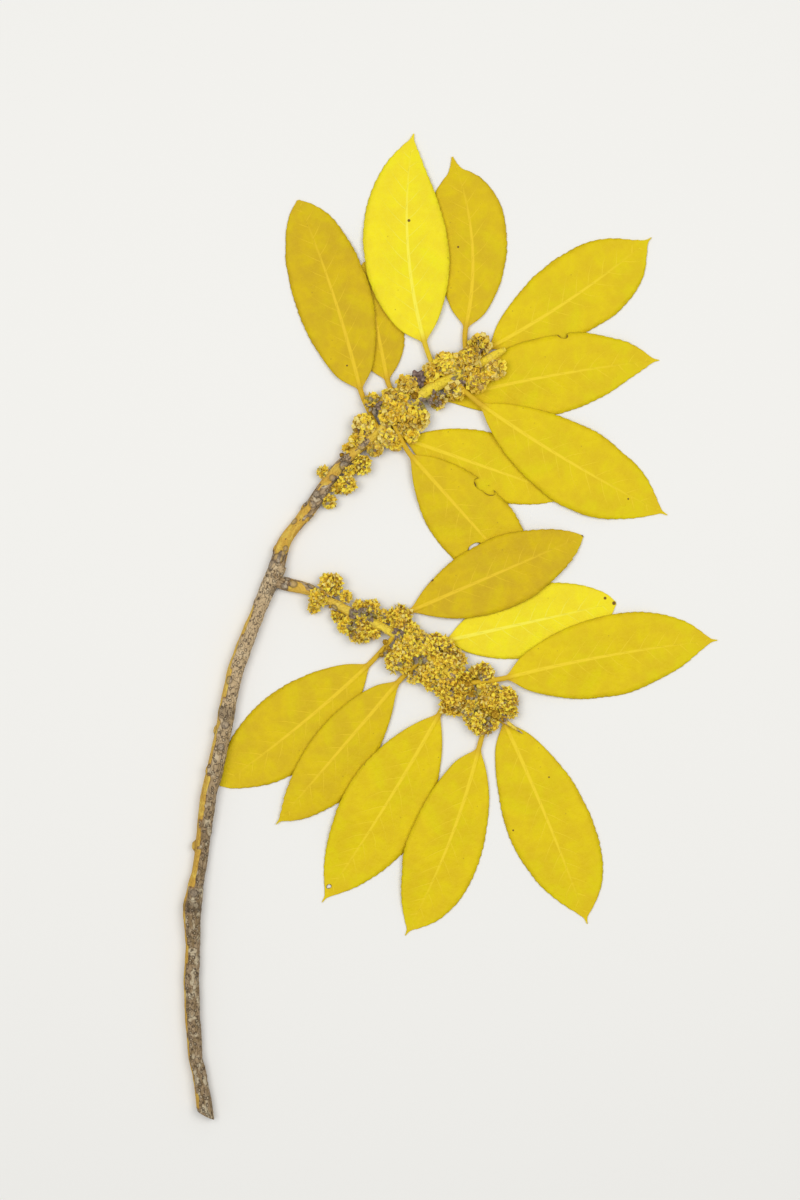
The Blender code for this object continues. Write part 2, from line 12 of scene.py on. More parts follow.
import bpy
import numpy as np
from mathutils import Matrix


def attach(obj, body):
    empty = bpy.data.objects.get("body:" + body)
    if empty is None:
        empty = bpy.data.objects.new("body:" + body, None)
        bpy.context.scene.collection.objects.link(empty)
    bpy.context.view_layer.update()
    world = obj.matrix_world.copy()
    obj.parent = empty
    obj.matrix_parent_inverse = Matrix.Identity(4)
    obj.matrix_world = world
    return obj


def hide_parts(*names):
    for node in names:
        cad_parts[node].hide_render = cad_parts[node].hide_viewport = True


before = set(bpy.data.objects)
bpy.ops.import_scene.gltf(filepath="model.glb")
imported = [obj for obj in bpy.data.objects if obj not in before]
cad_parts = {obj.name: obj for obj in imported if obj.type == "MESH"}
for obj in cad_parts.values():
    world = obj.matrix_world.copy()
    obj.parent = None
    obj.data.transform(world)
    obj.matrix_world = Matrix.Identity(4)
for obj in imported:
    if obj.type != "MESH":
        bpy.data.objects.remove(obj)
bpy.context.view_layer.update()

MM = 0.001
# Stands in for zero in a division.
TINY = 1e-6

# The middle of the branch's own box, which is put at the origin.
BOX_MIDDLE = (0.1, 0.5)
# Clear space between neighbouring solids.
GAP = 0.3
# A point that would come closer to the surface below than this is eased up from it.
SETTLE_HEIGHT = 0.3

# The room that the solids leave a blade, and the height from one blade to the next above it.
BLADE_ROOM = 0.9
BLADE_STEP = BLADE_ROOM + 0.45
# How far past the edge of the blade below the blade above stays level, and how far it then
# takes to come down.
DRAPE_LEVEL = 5.0
DRAPE_FALL = 17.0
# The share of a blade's length over which it comes down from its leaf stalk.
LIFT_RUN = 0.38
# The heights that a blade is carried to are joined by this root of their powers.
CARRY_POWER = 4

# A leaf stalk at the blade and at the shoot: half its width. Then half its thickness, and how
# far it is sunk into its shoot.
STALK_HALF_WIDTH = (1.0, 0.85)
STALK_HALF_THICK = 0.7
STALK_SUNK = 1.0
STALK_ROWS = 26
BLADE_ROWS = 190
# The solids' stations along a blade, which its outline follows.
BLADE_STATIONS = 13
# Places across a blade, from its left edge to its right edge, in half widths. They stand
# closer together towards the midrib.
EVEN_COLUMNS = np.linspace(-1.0, 1.0, 21)
BLADE_COLUMNS = np.sign(EVEN_COLUMNS) * np.abs(EVEN_COLUMNS) ** 1.5
# A dried leathery blade: its thickness, and how much thinner its margin is.
BLADE_THICK = 0.45
MARGIN_THINNING = 0.3
# A blade's narrow point: the share of the length where it starts, the share over which it
# tapers, and the share of its width that it keeps. Then the share of the length up to which
# the blade is no narrower than its stalk.
POINT_START = 0.7
POINT_TAPER = 0.12
POINT_LEAST = 0.12
STALK_WIDE_TO = 0.3
# Rows of an outline in plan, and how far rows are drawn towards a blade's two ends.
OUTLINE_ROWS = 31
ROW_SPREAD = 0.1
# The least half width of a blade at a station. Then the half width in stations of the window
# that rounds its outline, and the places in it.
LEAST_HALF_WIDTH = 0.5
ROUNDING = 0.75
ROUNDING_PLACES = 25
# The margin's teeth: their pitch and depth, the share of the pitch over which they rise, and
# how far they wander, in pitches. Then how uneven the margin is besides.
TOOTH_PITCH = 2.9
TOOTH_DEPTH = 0.42
TOOTH_RISE = 0.8
TOOTH_WANDER = 0.35
MARGIN_UNEVEN = 0.35
# Where along the blade the teeth come in and where they go, in shares of its length, and a
# tooth's usual strength and how much noise adds or takes.
TEETH_START, TEETH_END = (0.10, 0.32), (0.93, 0.99)
TOOTH_STRENGTH, STRENGTH_SWING = 0.6, 0.4
# The sizes of the noise that moves the teeth, makes the margin uneven and weakens some teeth.
WANDER_SIZE, UNEVEN_SIZE, STRENGTH_SIZE = 9.0, 11.0, 7.0
# Side veins: their spacing along the midrib, how far they run forward for each millimetre
# from the midrib and for its square, how far the left ones are shifted, in spacings, and how
# far they wander, in millimetres. Then how high the blade swells between them.
VEIN_SPACING = 6.6
VEIN_SLOPE = 0.75
VEIN_CURVE = 0.035
VEIN_SHIFT = 0.4
VEIN_WANDER = 1.1
VEIN_WANDER_SIZE = 9.0
QUILT_RISE = 0.1
# The blade's slow waves and the ripples of its margin: their rise and their size.
WAVE_RISE = 0.22
WAVE_SIZE = 15.0
RIPPLE_RISE = 0.16
RIPPLE_SIZE = 5.0
# The midrib's half width at a blade's tip, and how much wider it is at the base. Then its rise
# at the base, which is lost towards the tip, and how much the stalk's end adds there.
RIB_HALF_WIDTH = 0.45
RIB_WIDENING = 0.55
RIB_RISE = 0.12
STALK_END_RISE = 0.5
# The shares of a blade's length over which its waves come in, over which the stalk's end dies
# away on its upper side, and over which it passes into the stalk's lower side.
WAVES_START = (0.05, 0.30)
STALK_END_TO = 0.25
STALK_UNDER_TO = 0.06
# The blade's own coordinates go into its UV map as this many millimetres to one unit.
UV_MM = 100.0

# Samples of a limb's curve between two of its way points, and how far before and after a
# station its direction is taken.
WAY_SAMPLES = 24
DIRECTION_STEP = 2.0
# Grid of the bark: the step along a limb, and the places round the stem and a shoot.
BARK_STEP = 0.35
STEM_SIDES = 56
SHOOT_SIDES = 44
# How much the oblique cut slants the stem's foot, and how far up the slant has gone.
FOOT_SLANT = -0.75
FOOT_SLANT_TO = 6.0

# A flower tuft's greatest half height beside its shoot and on top of it.
TUFT_HALF_HEIGHT = 4.0
CROWN_HALF_HEIGHT = 2.9
# Step along a ray from a tuft's middle when looking for what stands in its way.
RAY_STEP = 0.2

# Way points: x, y, radius and the height of the underside. The stem rests on the surface
# along its whole length. The flowered part of each shoot is carried by the flowers and the
# leaves under it.
STEM_WAY = [
    (-92.9, -184.8, 3.05, 0.0), (-95.3, -169.5, 2.75, 0.0), (-97.1, -160.0, 2.75, 0.0),
    (-98.3, -135.3, 2.95, 0.0), (-97.8, -119.7, 2.9, 0.0), (-97.9, -105.7, 3.4, 0.0),
    (-94.9, -88.6, 2.6, 0.0), (-92.0, -65.4, 3.1, 0.0), (-87.8, -47.1, 3.15, 0.0),
    (-82.3, -19.4, 3.05, 0.0), (-77.2, -4.6, 3.05, 0.0), (-72.0, 8.4, 2.8, 0.0),
    (-66.5, 20.9, 3.15, 0.0),
]
UPPER_WAY = [
    (-66.2, 21.6, 3.05, 0.0), (-63.0, 32.3, 2.5, 0.0), (-57.2, 40.4, 2.15, 0.3),
    (-46.9, 54.4, 2.25, 0.9), (-39.3, 63.5, 1.9, 1.4), (-23.4, 77.2, 1.75, 1.9),
    (-8.9, 89.3, 1.6, 2.1), (2.9, 95.4, 1.4, 2.5), (14.3, 101.5, 1.3, 3.2),
    (20.7, 105.3, 0.75, 3.5),
]
SIDE_WAY = [
    (-63.6, 17.0, 2.25, 0.4), (-53.5, 14.2, 2.0, 0.6), (-37.5, 5.4, 1.8, 1.4),
    (-18.6, -4.0, 1.7, 1.9), (0.3, -17.8, 1.6, 2.0), (14.9, -29.5, 1.5, 2.1),
    (18.4, -33.8, 1.15, 2.2), (27.2, -40.3, 0.35, 2.4),
]
LIMB_SPACING = {"stem": 7.5, "upper": 5.8, "side": 5.8}
LIMB_WAYS = {"stem": STEM_WAY, "upper": UPPER_WAY, "side": SIDE_WAY}

# A leaf: where its stalk leaves the shoot (station along it, and degrees round it, with
# 0 its right side, 90 its top and 180 its left side), its blade's base, heading in degrees
# and length, how far its midrib bows to the left, its half width and the place of its
# greatest width on the left and the right, the powers that shape its base and its shoulder,
# the share of its length where the body ends and a narrow point goes on, half the width of
# that point, the height of its base, and the leaves that it lies on.
Leaf = namedtuple(
    "Leaf",
    "name shoot station turn base heading length bow left right powers body_end "
    "point lift over",
)
LEAVES = [
    Leaf("leaf_upper_1", "upper", 67.0, 180, (-34.4, 90.8), 108.3, 75.2, -1.5,
         (14.4, 0.50), (13.7, 0.50), (0.75, 0.66), 1.0, 1.5, 1.6, ["leaf_upper_2"]),
    Leaf("leaf_upper_2", "upper", 79.0, 180, (-24.1, 94.3), 101.1, 45.3, 0.0,
         (9.5, 0.42), (10.3, 0.38), (0.75, 0.75), 1.0, 1.5, 0.8, []),
    Leaf("leaf_upper_3", "upper", 96.0, 165, (-10.1, 108.7), 92.8, 78.8, 4.4,
         (16.3, 0.47), (14.8, 0.42), (0.72, 0.92), 0.97, 1.1, 1.8,
         ["leaf_upper_2", "leaf_upper_4"]),
    Leaf("leaf_upper_4", "upper", 108.0, 180, (5.9, 114.4), 94.7, 64.5, -4.9,
         (13.7, 0.58), (13.7, 0.56), (0.75, 0.62), 0.92, 1.9, 0.9, []),
    Leaf("leaf_upper_5", "upper", 113.5, 175, (15.8, 106.6), 34.4, 73.3, -1.9,
         (15.6, 0.56), (14.8, 0.58), (0.70, 0.58), 0.94, 1.1, 0.5, []),
    Leaf("leaf_upper_6", "upper", 92.5, -10, (-2.1, 86.6), 10.3, 82.7, 1.5,
         (14.4, 0.50), (13.7, 0.50), (0.80, 0.78), 0.97, 1.1, 0.7, ["leaf_upper_5"]),
    Leaf("leaf_upper_7", "upper", 101.0, 60, (12.0, 84.0), -30.5, 81.6, -1.5,
         (14.1, 0.52), (14.8, 0.58), (0.75, 0.62), 0.95, 1.1, 3.0,
         ["leaf_upper_6", "leaf_upper_8"]),
    Leaf("leaf_upper_8", "upper", 64.3, -15, (-16.2, 71.1), -19.2, 67.2, 0.0,
         (12.9, 0.50), (11.8, 0.48), (0.75, 0.70), 0.97, 1.1, 0.7, []),
    Leaf("leaf_upper_9", "upper", 72.5, 60, (-14.6, 64.6), -48.0, 65.0, 0.0,
         (14.1, 0.53), (13.7, 0.53), (0.75, 0.70), 0.97, 1.1, 2.8, ["leaf_upper_8"]),
    Leaf("leaf_side_1", "side", 44.5, 175, (-14.3, 6.5), 23.5, 70.5, 0.0,
         (13.3, 0.50), (14.1, 0.50), (0.75, 0.75), 1.0, 1.1, 1.4,
         ["leaf_upper_9", "leaf_side_2"]),
    Leaf("leaf_side_2", "side", 59.5, 175, (-0.6, -4.9), 12.5, 65.0, 0.0,
         (13.7, 0.54), (13.3, 0.50), (0.75, 0.60), 1.0, 1.9, 0.9, []),
    Leaf("leaf_side_3", "side", 80.0, 110, (21.9, -19.0), 10.0, 80.7, 1.5,
         (15.6, 0.54), (15.6, 0.48), (0.78, 0.70), 0.95, 1.1, 2.6, ["leaf_side_2"]),
    Leaf("leaf_side_4", "side", 47.0, 0, (-31.7, -14.8), -140.9, 72.0, 1.3,
         (13.7, 0.52), (15.2, 0.52), (0.75, 0.68), 1.0, 0.9, 0.6, []),
    Leaf("leaf_side_5", "side", 61.0, 0, (-20.3, -21.3), -130.6, 70.6, 0.0,
         (13.7, 0.56), (10.6, 0.45), (0.75, 0.62), 0.95, 1.1, 1.0, ["leaf_side_4"]),
    Leaf("leaf_side_6", "side", 77.5, 0, (-4.8, -33.8), -121.9, 83.3, 1.0,
         (14.8, 0.52), (15.2, 0.46), (0.70, 0.64), 0.95, 1.1, 1.0, ["leaf_side_5"]),
    Leaf("leaf_side_7", "side", 94.0, 0, (10.5, -46.8), -111.5, 75.6, 2.5,
         (14.1, 0.56), (14.4, 0.52), (0.75, 0.62), 0.95, 1.1, 1.2, ["leaf_side_6"]),
    Leaf("leaf_side_8", "side", 96.0, -50, (20.7, -36.9), -67.6, 82.0, 1.0,
         (16.0, 0.55), (15.2, 0.56), (0.72, 0.60), 0.95, 1.1, 0.5, []),
]
LEAF_BY_NAME = {leaf.name: leaf for leaf in LEAVES}

# How far a leaf's left and right margins stand out from its solid's on the photo, in
# millimetres, near its base, halfway and at its shoulder. They are in the order of the leaves.
MARGIN_PLACES = (0.15, 0.5, 0.75)
MARGIN_SHIFTS = dict(zip(LEAF_BY_NAME, (
    ((2.5, 0.5, 1.0), (1.5, 0.5, 1.5)), ((1.0, 0.5, 0.5), (0.0, -0.5, -0.5)),
    ((2.0, 1.0, 2.5), (1.0, 1.0, 0.0)), ((2.5, 2.0, 2.5), (1.5, 0.0, 0.5)),
    ((1.0, 0.5, 0.0), (0.0, 0.0, 1.0)), ((1.0, 1.0, 2.0), (0.0, 1.5, -1.0)),
    ((0.5, 1.0, 1.0), (0.5, 1.5, -0.5)), ((0.5, 0.5, 0.5), (0.5, 0.0, -0.5)),
    ((1.0, 1.0, 2.0), (0.0, 1.0, 0.5)), ((0.0, 0.0, 0.0), (0.0, 0.5, 0.5)),
    ((0.5, 0.5, 0.0), (1.0, 0.5, 0.5)), ((1.5, 0.0, 1.5), (1.5, 0.0, 0.0)),
    ((0.0, 0.5, 0.0), (1.0, 1.0, 1.5)), ((-1.0, 0.0, 0.5), (1.5, 0.5, -0.5)),
    ((0.0, 1.5, 0.0), (0.0, 1.0, 0.5)), ((0.0, -0.5, 1.0), (2.5, 1.0, 0.0)),
    ((1.0, 0.0, 1.5), (2.0, 1.0, -1.0)),
)))


def records(kind, *rows):
    """Records of one kind from rows of their values."""
    return [kind(*row) for row in rows]


# A tuft of flowers: its station along the shoot, how far its middle lies to the left of the
# shoot, and its radius.
Tuft = namedtuple("Tuft", "station offset radius")
TUFTS = {
    "upper": records(
        Tuft,
        (33.5, -4.8, 2.8), (43.0, -6.2, 3.8), (53.0, -5.0, 4.0), (41.2, 3.6, 2.0),
        (63.7, 5.3, 5.0), (61.0, -3.9, 2.7), (67.8, -4.0, 4.0), (71.7, 10.2, 3.4),
        (78.4, 6.2, 5.3), (85.8, 6.2, 4.5), (80.7, -5.0, 6.0), (73.8, 1.0, 5.4),
        (100.8, 6.0, 5.0), (91.7, -4.2, 4.0), (100.3, -4.4, 4.4), (109.5, 4.6, 3.2),
        (116.2, 6.2, 4.6), (108.6, -4.8, 5.0), (116.5, -4.2, 4.8), (109.5, 0.2, 4.4),
    ),
    "side": records(
        Tuft,
        (16.7, 5.4, 5.0), (14.8, -1.2, 4.0), (24.3, -3.0, 2.6), (34.7, -4.6, 5.5),
        (34.7, 4.8, 3.8), (45.9, 5.9, 5.4), (51.9, 4.2, 3.4), (52.5, -8.7, 4.2),
        (52.9, -3.6, 4.4), (61.7, 4.7, 6.2), (65.9, -5.1, 5.2), (70.7, 4.5, 5.2),
        (80.4, -8.1, 5.5), (82.6, 6.8, 5.4), (95.0, -6.6, 5.4), (94.3, 5.3, 6.0),
        (79.8, -0.1, 5.4), (90.3, 0.6, 5.2), (74.8, -4.1, 5.2),
    ),
}
# A dried, dark bud among the upper tufts.
OLD_BUD = Tuft(90.5, 5.2, 2.8)
# Single flowers and small groups of them between the tufts.
STRAYS = {
    "upper": records(
        Tuft,
        (94.6, 3.8, 2.1), (91.0, 2.7, 1.7), (86.8, 3.5, 1.7), (53.4, 2.9, 1.1), (50.2, 2.5, 1.5),
        (37.9, -4.9, 1.0), (74.8, -9.0, 1.7), (58.6, 2.6, 1.2), (67.0, 5.1, 2.1),
        (81.4, 4.0, 2.4), (112.7, 4.3, 1.9), (67.0, -2.1, 1.5), (111.6, -4.8, 2.2),
        (47.8, -3.6, 1.8), (39.5, -3.4, 1.4), (73.9, -4.6, 2.4), (57.9, 3.1, 1.3),
        (95.0, 6.6, 1.5), (68.5, -7.4, 1.4), (69.4, 7.4, 2.0), (104.8, 2.6, 2.2),
        (105.3, 5.2, 2.0), (77.5, 1.5, 2.6), (85.5, 1.5, 2.2), (106.5, -2.0, 2.4),
    ),
    "side": records(
        Tuft,
        (23.8, 4.4, 1.8), (20.6, -2.0, 0.9), (15.2, -5.4, 1.5), (29.6, 3.8, 1.2),
        (39.9, 4.1, 2.2), (28.8, -3.9, 1.5), (45.3, -4.4, 1.8), (41.7, -2.2, 0.9),
        (56.7, -6.0, 1.5), (60.7, -9.0, 1.5), (59.7, 1.6, 2.4), (66.7, 0.7, 2.4),
        (70.6, -3.7, 2.7), (74.2, -7.3, 2.1), (85.4, -7.3, 2.1), (83.8, -1.0, 2.7),
        (95.9, -0.5, 2.4), (100.4, 4.1, 1.8), (98.0, -3.9, 1.5), (65.8, 8.0, 1.8),
        (74.2, 3.3, 2.2), (52.4, 0.4, 2.8), (56.6, -0.8, 2.8), (33.0, -0.6, 1.6),
        (28.6, -6.2, 1.5), (62.4, -10.2, 1.3), (89.0, 5.6, 2.2), (55.7, 3.9, 2.4),
        (86.9, -4.2, 2.6), (40.0, -3.4, 1.5), (85.6, 3.0, 2.2), (46.4, -9.4, 1.4),
        (88.4, -8.6, 2.0), (99.5, 0.3, 1.8), (57.7, -9.2, 1.5), (47.3, -6.3, 2.0),
        (69.6, -8.2, 1.6), (68.7, -3.8, 2.0), (30.6, 2.4, 1.4), (42.6, 2.9, 1.2),
    ),
}

# Stretches of each shoot that show bare between its tufts: from and to along it, and how far
# past the shoot's side no flower stands.
BARE_STRETCHES = {
    "upper": [(20.0, 58.0, 0.8), (88.0, 97.0, 2.3), (105.0, 109.0, 0.5), (114.0, 126.0, 1.3)],
    "side": [(0.0, 9.5, 1.1), (20.5, 27.0, 1.4), (38.5, 46.5, 1.5)],
}
# The leaves whose stalks lie on top of the tufts.
STALKS_ON_TOP = [
    "leaf_upper_1", "leaf_upper_7", "leaf_upper_9", "leaf_side_3", "leaf_side_4", "leaf_side_5",
    "leaf_side_8",
]
# Where dry scales stand on top of the tufts instead of flowers.
SCALE_PATCHES = {
    "upper": records(
        Tuft,
        (84.5, -1.3, 3.2), (91.6, -3.9, 2.5), (71.4, 8.9, 2.4), (103.6, -1.2, 2.6),
        (115.7, 5.4, 1.7),
    ),
    "side": records(
        Tuft,
        (16.6, 2.9, 1.5), (34.7, 3.0, 2.6), (32.9, -5.2, 2.2), (59.7, -1.8, 2.5),
        (83.8, -0.9, 2.7), (95.7, -5.5, 2.3), (82.1, 6.3, 1.3), (48.0, 1.5, 1.6),
        (31.5, 0.0, 2.2), (62.7, 4.8, 1.4), (76.0, -4.4, 1.6),
    ),
}

# An ellipse in plan: its middle, its two radii and the turn of the first in degrees.
Patch = namedtuple("Patch", "x y long short turn")


def dot(x, y, radius):
    """A round patch."""
    return Patch(x, y, radius, radius, 0)


# Where insects ate a leaf.
BITES = {
    "leaf_upper_6": [Patch(42.3, 110.4, 2.0, 1.1, -20)],
    "leaf_upper_9": [Patch(11.4, 53.8, 2.7, 2.0, -38), Patch(14.3, 51.4, 2.6, 1.6, -30),
                     Patch(9.6, 28.6, 3.4, 2.6, 35)],
    "leaf_side_6": [Patch(-46.3, -99.0, 0.9, 0.7, 20)],
}
# The look of each leaf, in the order of the leaves: its finish slot, its tint and its brown
# spots.
LeafLook = namedtuple("LeafLook", "slot tint spots")
LEAF_LOOKS = dict(zip(LEAF_BY_NAME, records(
    LeafLook,
    ("leaf_ochre", "ochre", [dot(-39.4, 98.7, 0.45)]), ("leaf_ochre", "ochre", []),
    ("leaf_bright", "bright", [dot(-15.9, 153.8, 0.7)]),
    ("leaf_ochre", "amber", [dot(2.8, 143.9, 0.5)]), ("leaf_gold", "gold", []),
    ("leaf_gold", "gold", []), ("leaf_gold", "gold", [dot(67.4, 48.2, 0.45)]),
    ("leaf_gold", "gold", []), ("leaf_gold", "amber", [dot(13.2, 31.6, 0.5)]),
    ("leaf_ochre", "ochre", [dot(50.3, 34.5, 0.9), dot(-7.1, 17.4, 0.7)]),
    ("leaf_bright", "bright", [dot(58.6, 10.5, 0.7), dot(62.0, 8.6, 0.9)]),
    ("leaf_gold", "gold", []), ("leaf_ochre", "amber", []), ("leaf_ochre", "amber", []),
    ("leaf_gold", "gold", []), ("leaf_gold", "gold", []),
    ("leaf_gold", "gold", [dot(23.7, -77.7, 0.45), dot(37.3, -57.5, 0.4)]),
)))

# Inner bark that shows along the stem's left side: from and to along the stem, and the share
# of the width in view that it takes up.
Strip = namedtuple("Strip", "start end share")
STEM_STRIPS = records(
    Strip,
    (2.0, 60.0, 0.055), (60.0, 196.0, 0.10), (2.0, 8.8, 0.22), (11.4, 24.5, 0.10),
    (31.6, 48.1, 0.14), (57.8, 64.9, 0.24), (86.9, 101.5, 0.42), (102.4, 109.5, 0.28),
    (112.6, 129.4, 0.36), (133.8, 150.8, 0.20), (159.7, 170.7, 0.28), (184.2, 191.8, 0.20),
)
# How far grey skin creeps over a shoot's two sides.
GREY_SIDES = {"upper": 0.22, "side": 0.1}
# Stretches of a shoot with more grey skin: from and to along it, and how much more.
GREY_STRETCHES = {
    "upper": [(27.0, 34.0, 0.75), (34.0, 47.0, 0.35), (47.0, 52.0, 0.8), (84.0, 126.0, -1.0)],
    "side": [(28.0, 36.0, 0.6), (37.0, 50.0, -0.4), (60.0, 80.0, 0.2)],
}
# A mark on the bark: its station, its degrees round the limb, its half length along and half
# width round it, its rise, and whether it is a pale scar, a raised bud, a dark band or a
# swelling.
Mark = namedtuple("Mark", "station turn long wide rise kind")
BARK_MARKS = {
    "stem": records(
        Mark,
        (166.4, 117, 1.6, 1.4, 0.25, "scar"), (149.5, 80, 1.5, 1.5, 0.30, "scar"),
        (141.1, 80, 1.4, 1.4, 0.30, "scar"), (147.0, 172, 1.6, 1.4, 0.7, "bud"),
        (131.5, 145, 1.7, 1.5, 0.6, "bud"), (102.4, 178, 1.9, 1.4, 1.3, "bud"),
        (84.8, 90, 1.5, 1.5, 0.30, "scar"), (79.5, 90, 2.4, 9.0, 0.25, "band"),
        (154.0, 90, 2.6, 9.0, 0.35, "band"), (204.4, 10, 2.4, 3.5, 0.0, "band"),
    ),
    "upper": records(
        Mark,
        (1.4, 126, 2.2, 2.2, 0.35, "scar"), (6.6, 71, 1.3, 1.2, 0.25, "scar"),
        (7.6, 178, 1.4, 1.3, 0.5, "bud"), (9.0, 57, 1.2, 1.1, 0.25, "scar"),
        (19.6, 135, 1.4, 1.2, 0.25, "scar"), (24.4, 5, 1.4, 1.2, 0.4, "scar"),
        (26.6, 160, 1.4, 1.2, 0.5, "bud"), (29.0, 83, 1.2, 1.2, 0.25, "scar"),
        (30.5, 5, 1.3, 1.2, 0.3, "scar"), (4.6, 95, 1.9, 2.0, 0.3, "scar"),
        (33.0, 110, 1.3, 1.4, 0.3, "scar"), (33.6, 40, 1.2, 1.2, 0.3, "scar"),
        (41.5, 75, 1.3, 1.3, 0.25, "scar"), (48.0, 60, 2.0, 1.8, 0.2, "scar"),
        (118.5, 90, 5.0, 9.0, 0.6, "swell"), (28.0, 0, 7.0, 3.4, 0.9, "swell"),
        (92.0, 0, 12.0, 5.0, 0.6, "swell"), (92.0, 180, 12.0, 5.0, 0.6, "swell"),
        (44.0, 175, 8.0, 3.0, 0.5, "swell"), (58.0, 95, 1.6, 1.8, 0.2, "scar"),
    ),
    "side": records(
        Mark,
        (1.0, 60, 1.4, 1.2, 0.3, "scar"), (1.6, 140, 1.2, 1.1, 0.3, "scar"),
        (4.0, 97, 1.7, 1.2, 0.25, "scar"), (10.5, 143, 1.5, 1.3, 0.35, "scar"),
        (22.0, 40, 1.5, 1.2, 0.25, "scar"), (30.0, 95, 2.2, 1.8, 0.25, "scar"),
        (4.0, 5, 7.0, 3.2, 0.7, "swell"),
    ),
}


def smooth_step(low, high, value):
    """Zero below low, one above high, and 3t^2 - 2t^3 between them."""
    t = np.clip((value - low) / (high - low), 0.0, 1.0)
    return t * t * (3.0 - 2.0 * t)


def stretch(low, high, soft, value):
    """One between low and high and zero outside them, with a smooth step at each end that
    reaches the soft length to either side of it."""
    return (smooth_step(low - soft, low + soft, value)
            * (1.0 - smooth_step(high - soft, high + soft, value)))


def unit(vectors):
    """Vectors brought to length one."""
    return vectors / np.linalg.norm(vectors, axis=-1)[..., None]


# The hash of a lattice point: a prime for each coordinate and for the seed, the shifts and
# products that mix them, and the largest number of 32 bits.
PRIMES = (73856093, 19349663, 83492791, 15485863)
MIXERS = ((15, 0x2C1B3C6D), (12, 0x297A2D39))
LARGEST = 0xFFFFFFFF


def lattice_values(cells, seed):
    """A fixed value from -1 to 1 for each whole-number lattice point: its coordinates and the
    seed are multiplied by large primes, joined, and mixed by shifts and products."""
    x, y, z = np.moveaxis(cells, -1, 0)
    mixed = (x * PRIMES[0]) ^ (y * PRIMES[1]) ^ (z * PRIMES[2]) ^ (seed * PRIMES[3])
    mixed = mixed & LARGEST
    for shift, product in MIXERS:
        mixed = ((mixed ^ (mixed >> shift)) * product) & LARGEST
    mixed = mixed ^ (mixed >> MIXERS[0][0])
    return mixed / (LARGEST // 2) - 1.0


def noise(points, size, seed, octaves=1):
    """Smooth noise from about -1 to 1 over points: lattice values a size apart, joined by
    3t^2 - 2t^3 along each axis. Each further octave has half the size and half the height."""
    total = np.zeros(points.shape[:-1])
    for octave in range(octaves):
        scaled = points / np.asarray(size, dtype=float) * 2**octave
        cell = np.floor(scaled).astype(np.int64)
        part = smooth_step(0.0, 1.0, scaled - cell)
        for corner in itertools.product((0, 1), repeat=3):
            weight = np.prod(np.where(corner, part, 1.0 - part), axis=-1)
            total += weight * lattice_values(cell + corner, seed + octave) * 0.5**octave
    return total


def flat_noise(plan, size, seed, octaves=1):
    """Smooth noise over points in plan."""
    points = np.concatenate([plan, np.zeros_like(plan[..., :1])], axis=-1)
    return noise(points, size, seed, octaves)


def settle(points):
    """Eases low points up from the surface: below the settle height h, z becomes
    h * exp((z - h) / h), which never reaches zero."""
    low = np.minimum(points[..., 2], SETTLE_HEIGHT)
    eased = SETTLE_HEIGHT * np.exp((low - SETTLE_HEIGHT) / SETTLE_HEIGHT)
    height = np.where(points[..., 2] < SETTLE_HEIGHT, eased, points[..., 2])
    return np.concatenate([points[..., :2], height[..., None]], axis=-1)


def smooth_way(way_points, spacing):
    """Samples of a Catmull-Rom curve through the way points, evenly spaced along it."""
    knots = np.array(way_points, dtype=float)
    padded = np.vstack([2 * knots[0] - knots[1], knots, 2 * knots[-1] - knots[-2]])
    t = np.linspace(0.0, 1.0, WAY_SAMPLES, endpoint=False)[:, None]
    spans = [0.5 * (2 * b + (c - a) * t + (2 * a - 5 * b + 4 * c - d) * t**2
                    + (3 * b - a - 3 * c + d) * t**3)
             for a, b, c, d in zip(padded, padded[1:], padded[2:], padded[3:])]
    fine = np.vstack(spans + [knots[-1:]])
    steps = np.hypot(*np.diff(fine[:, :2], axis=0).T)
    along = np.concatenate([[0.0], np.cumsum(steps)])
    stations = np.linspace(0.0, along[-1], max(2, round(along[-1] / spacing)) + 1)
    return stations, np.stack([np.interp(stations, along, col) for col in fine.T], axis=1)


Limb = namedtuple("Limb", "stations centre radius")


def make_limb(way_points, spacing):
    """A limb's stations, centre points and radii."""
    stations, samples = smooth_way(way_points, spacing)
    radius = samples[:, 2]
    centre = np.column_stack([samples[:, :2] - BOX_MIDDLE, radius + np.maximum(samples[:, 3], 0)])
    return Limb(stations, centre, radius)


LIMBS = {name: make_limb(way, LIMB_SPACING[name]) for name, way in LIMB_WAYS.items()}


def limb_frame(limb, station):
    """Centre, forward direction, leftward direction and radius of a limb at a station."""
    behind, centre, ahead = (
        np.array([np.interp(station + step, limb.stations, c) for c in limb.centre.T])
        for step in (-DIRECTION_STEP, 0.0, DIRECTION_STEP)
    )
    forward = ahead - behind
    forward[2] = 0.0
    forward /= np.linalg.norm(forward)
    leftward = np.array([-forward[1], forward[0], 0.0])
    return centre, forward, leftward, np.interp(station, limb.stations, limb.radius)


def blade_midrib(leaf, run):
    """Midrib points and unit leftward normals at the given shares of the blade's length:
    a straight line with a parabolic bow added to its left."""
    angle = math.radians(leaf.heading)
    ahead = np.array([math.cos(angle), math.sin(angle)])
    left = np.array([-ahead[1], ahead[0]])
    base = np.array(leaf.base) - BOX_MIDDLE
    run = np.asarray(run, dtype=float)[:, None]
    points = base + ahead * leaf.length * run + left * 4 * leaf.bow * run * (1 - run)
    tangent = unit(ahead * leaf.length + left * 4 * leaf.bow * (1 - 2 * run))
    return points, np.column_stack([-tangent[:, 1], tangent[:, 0]])


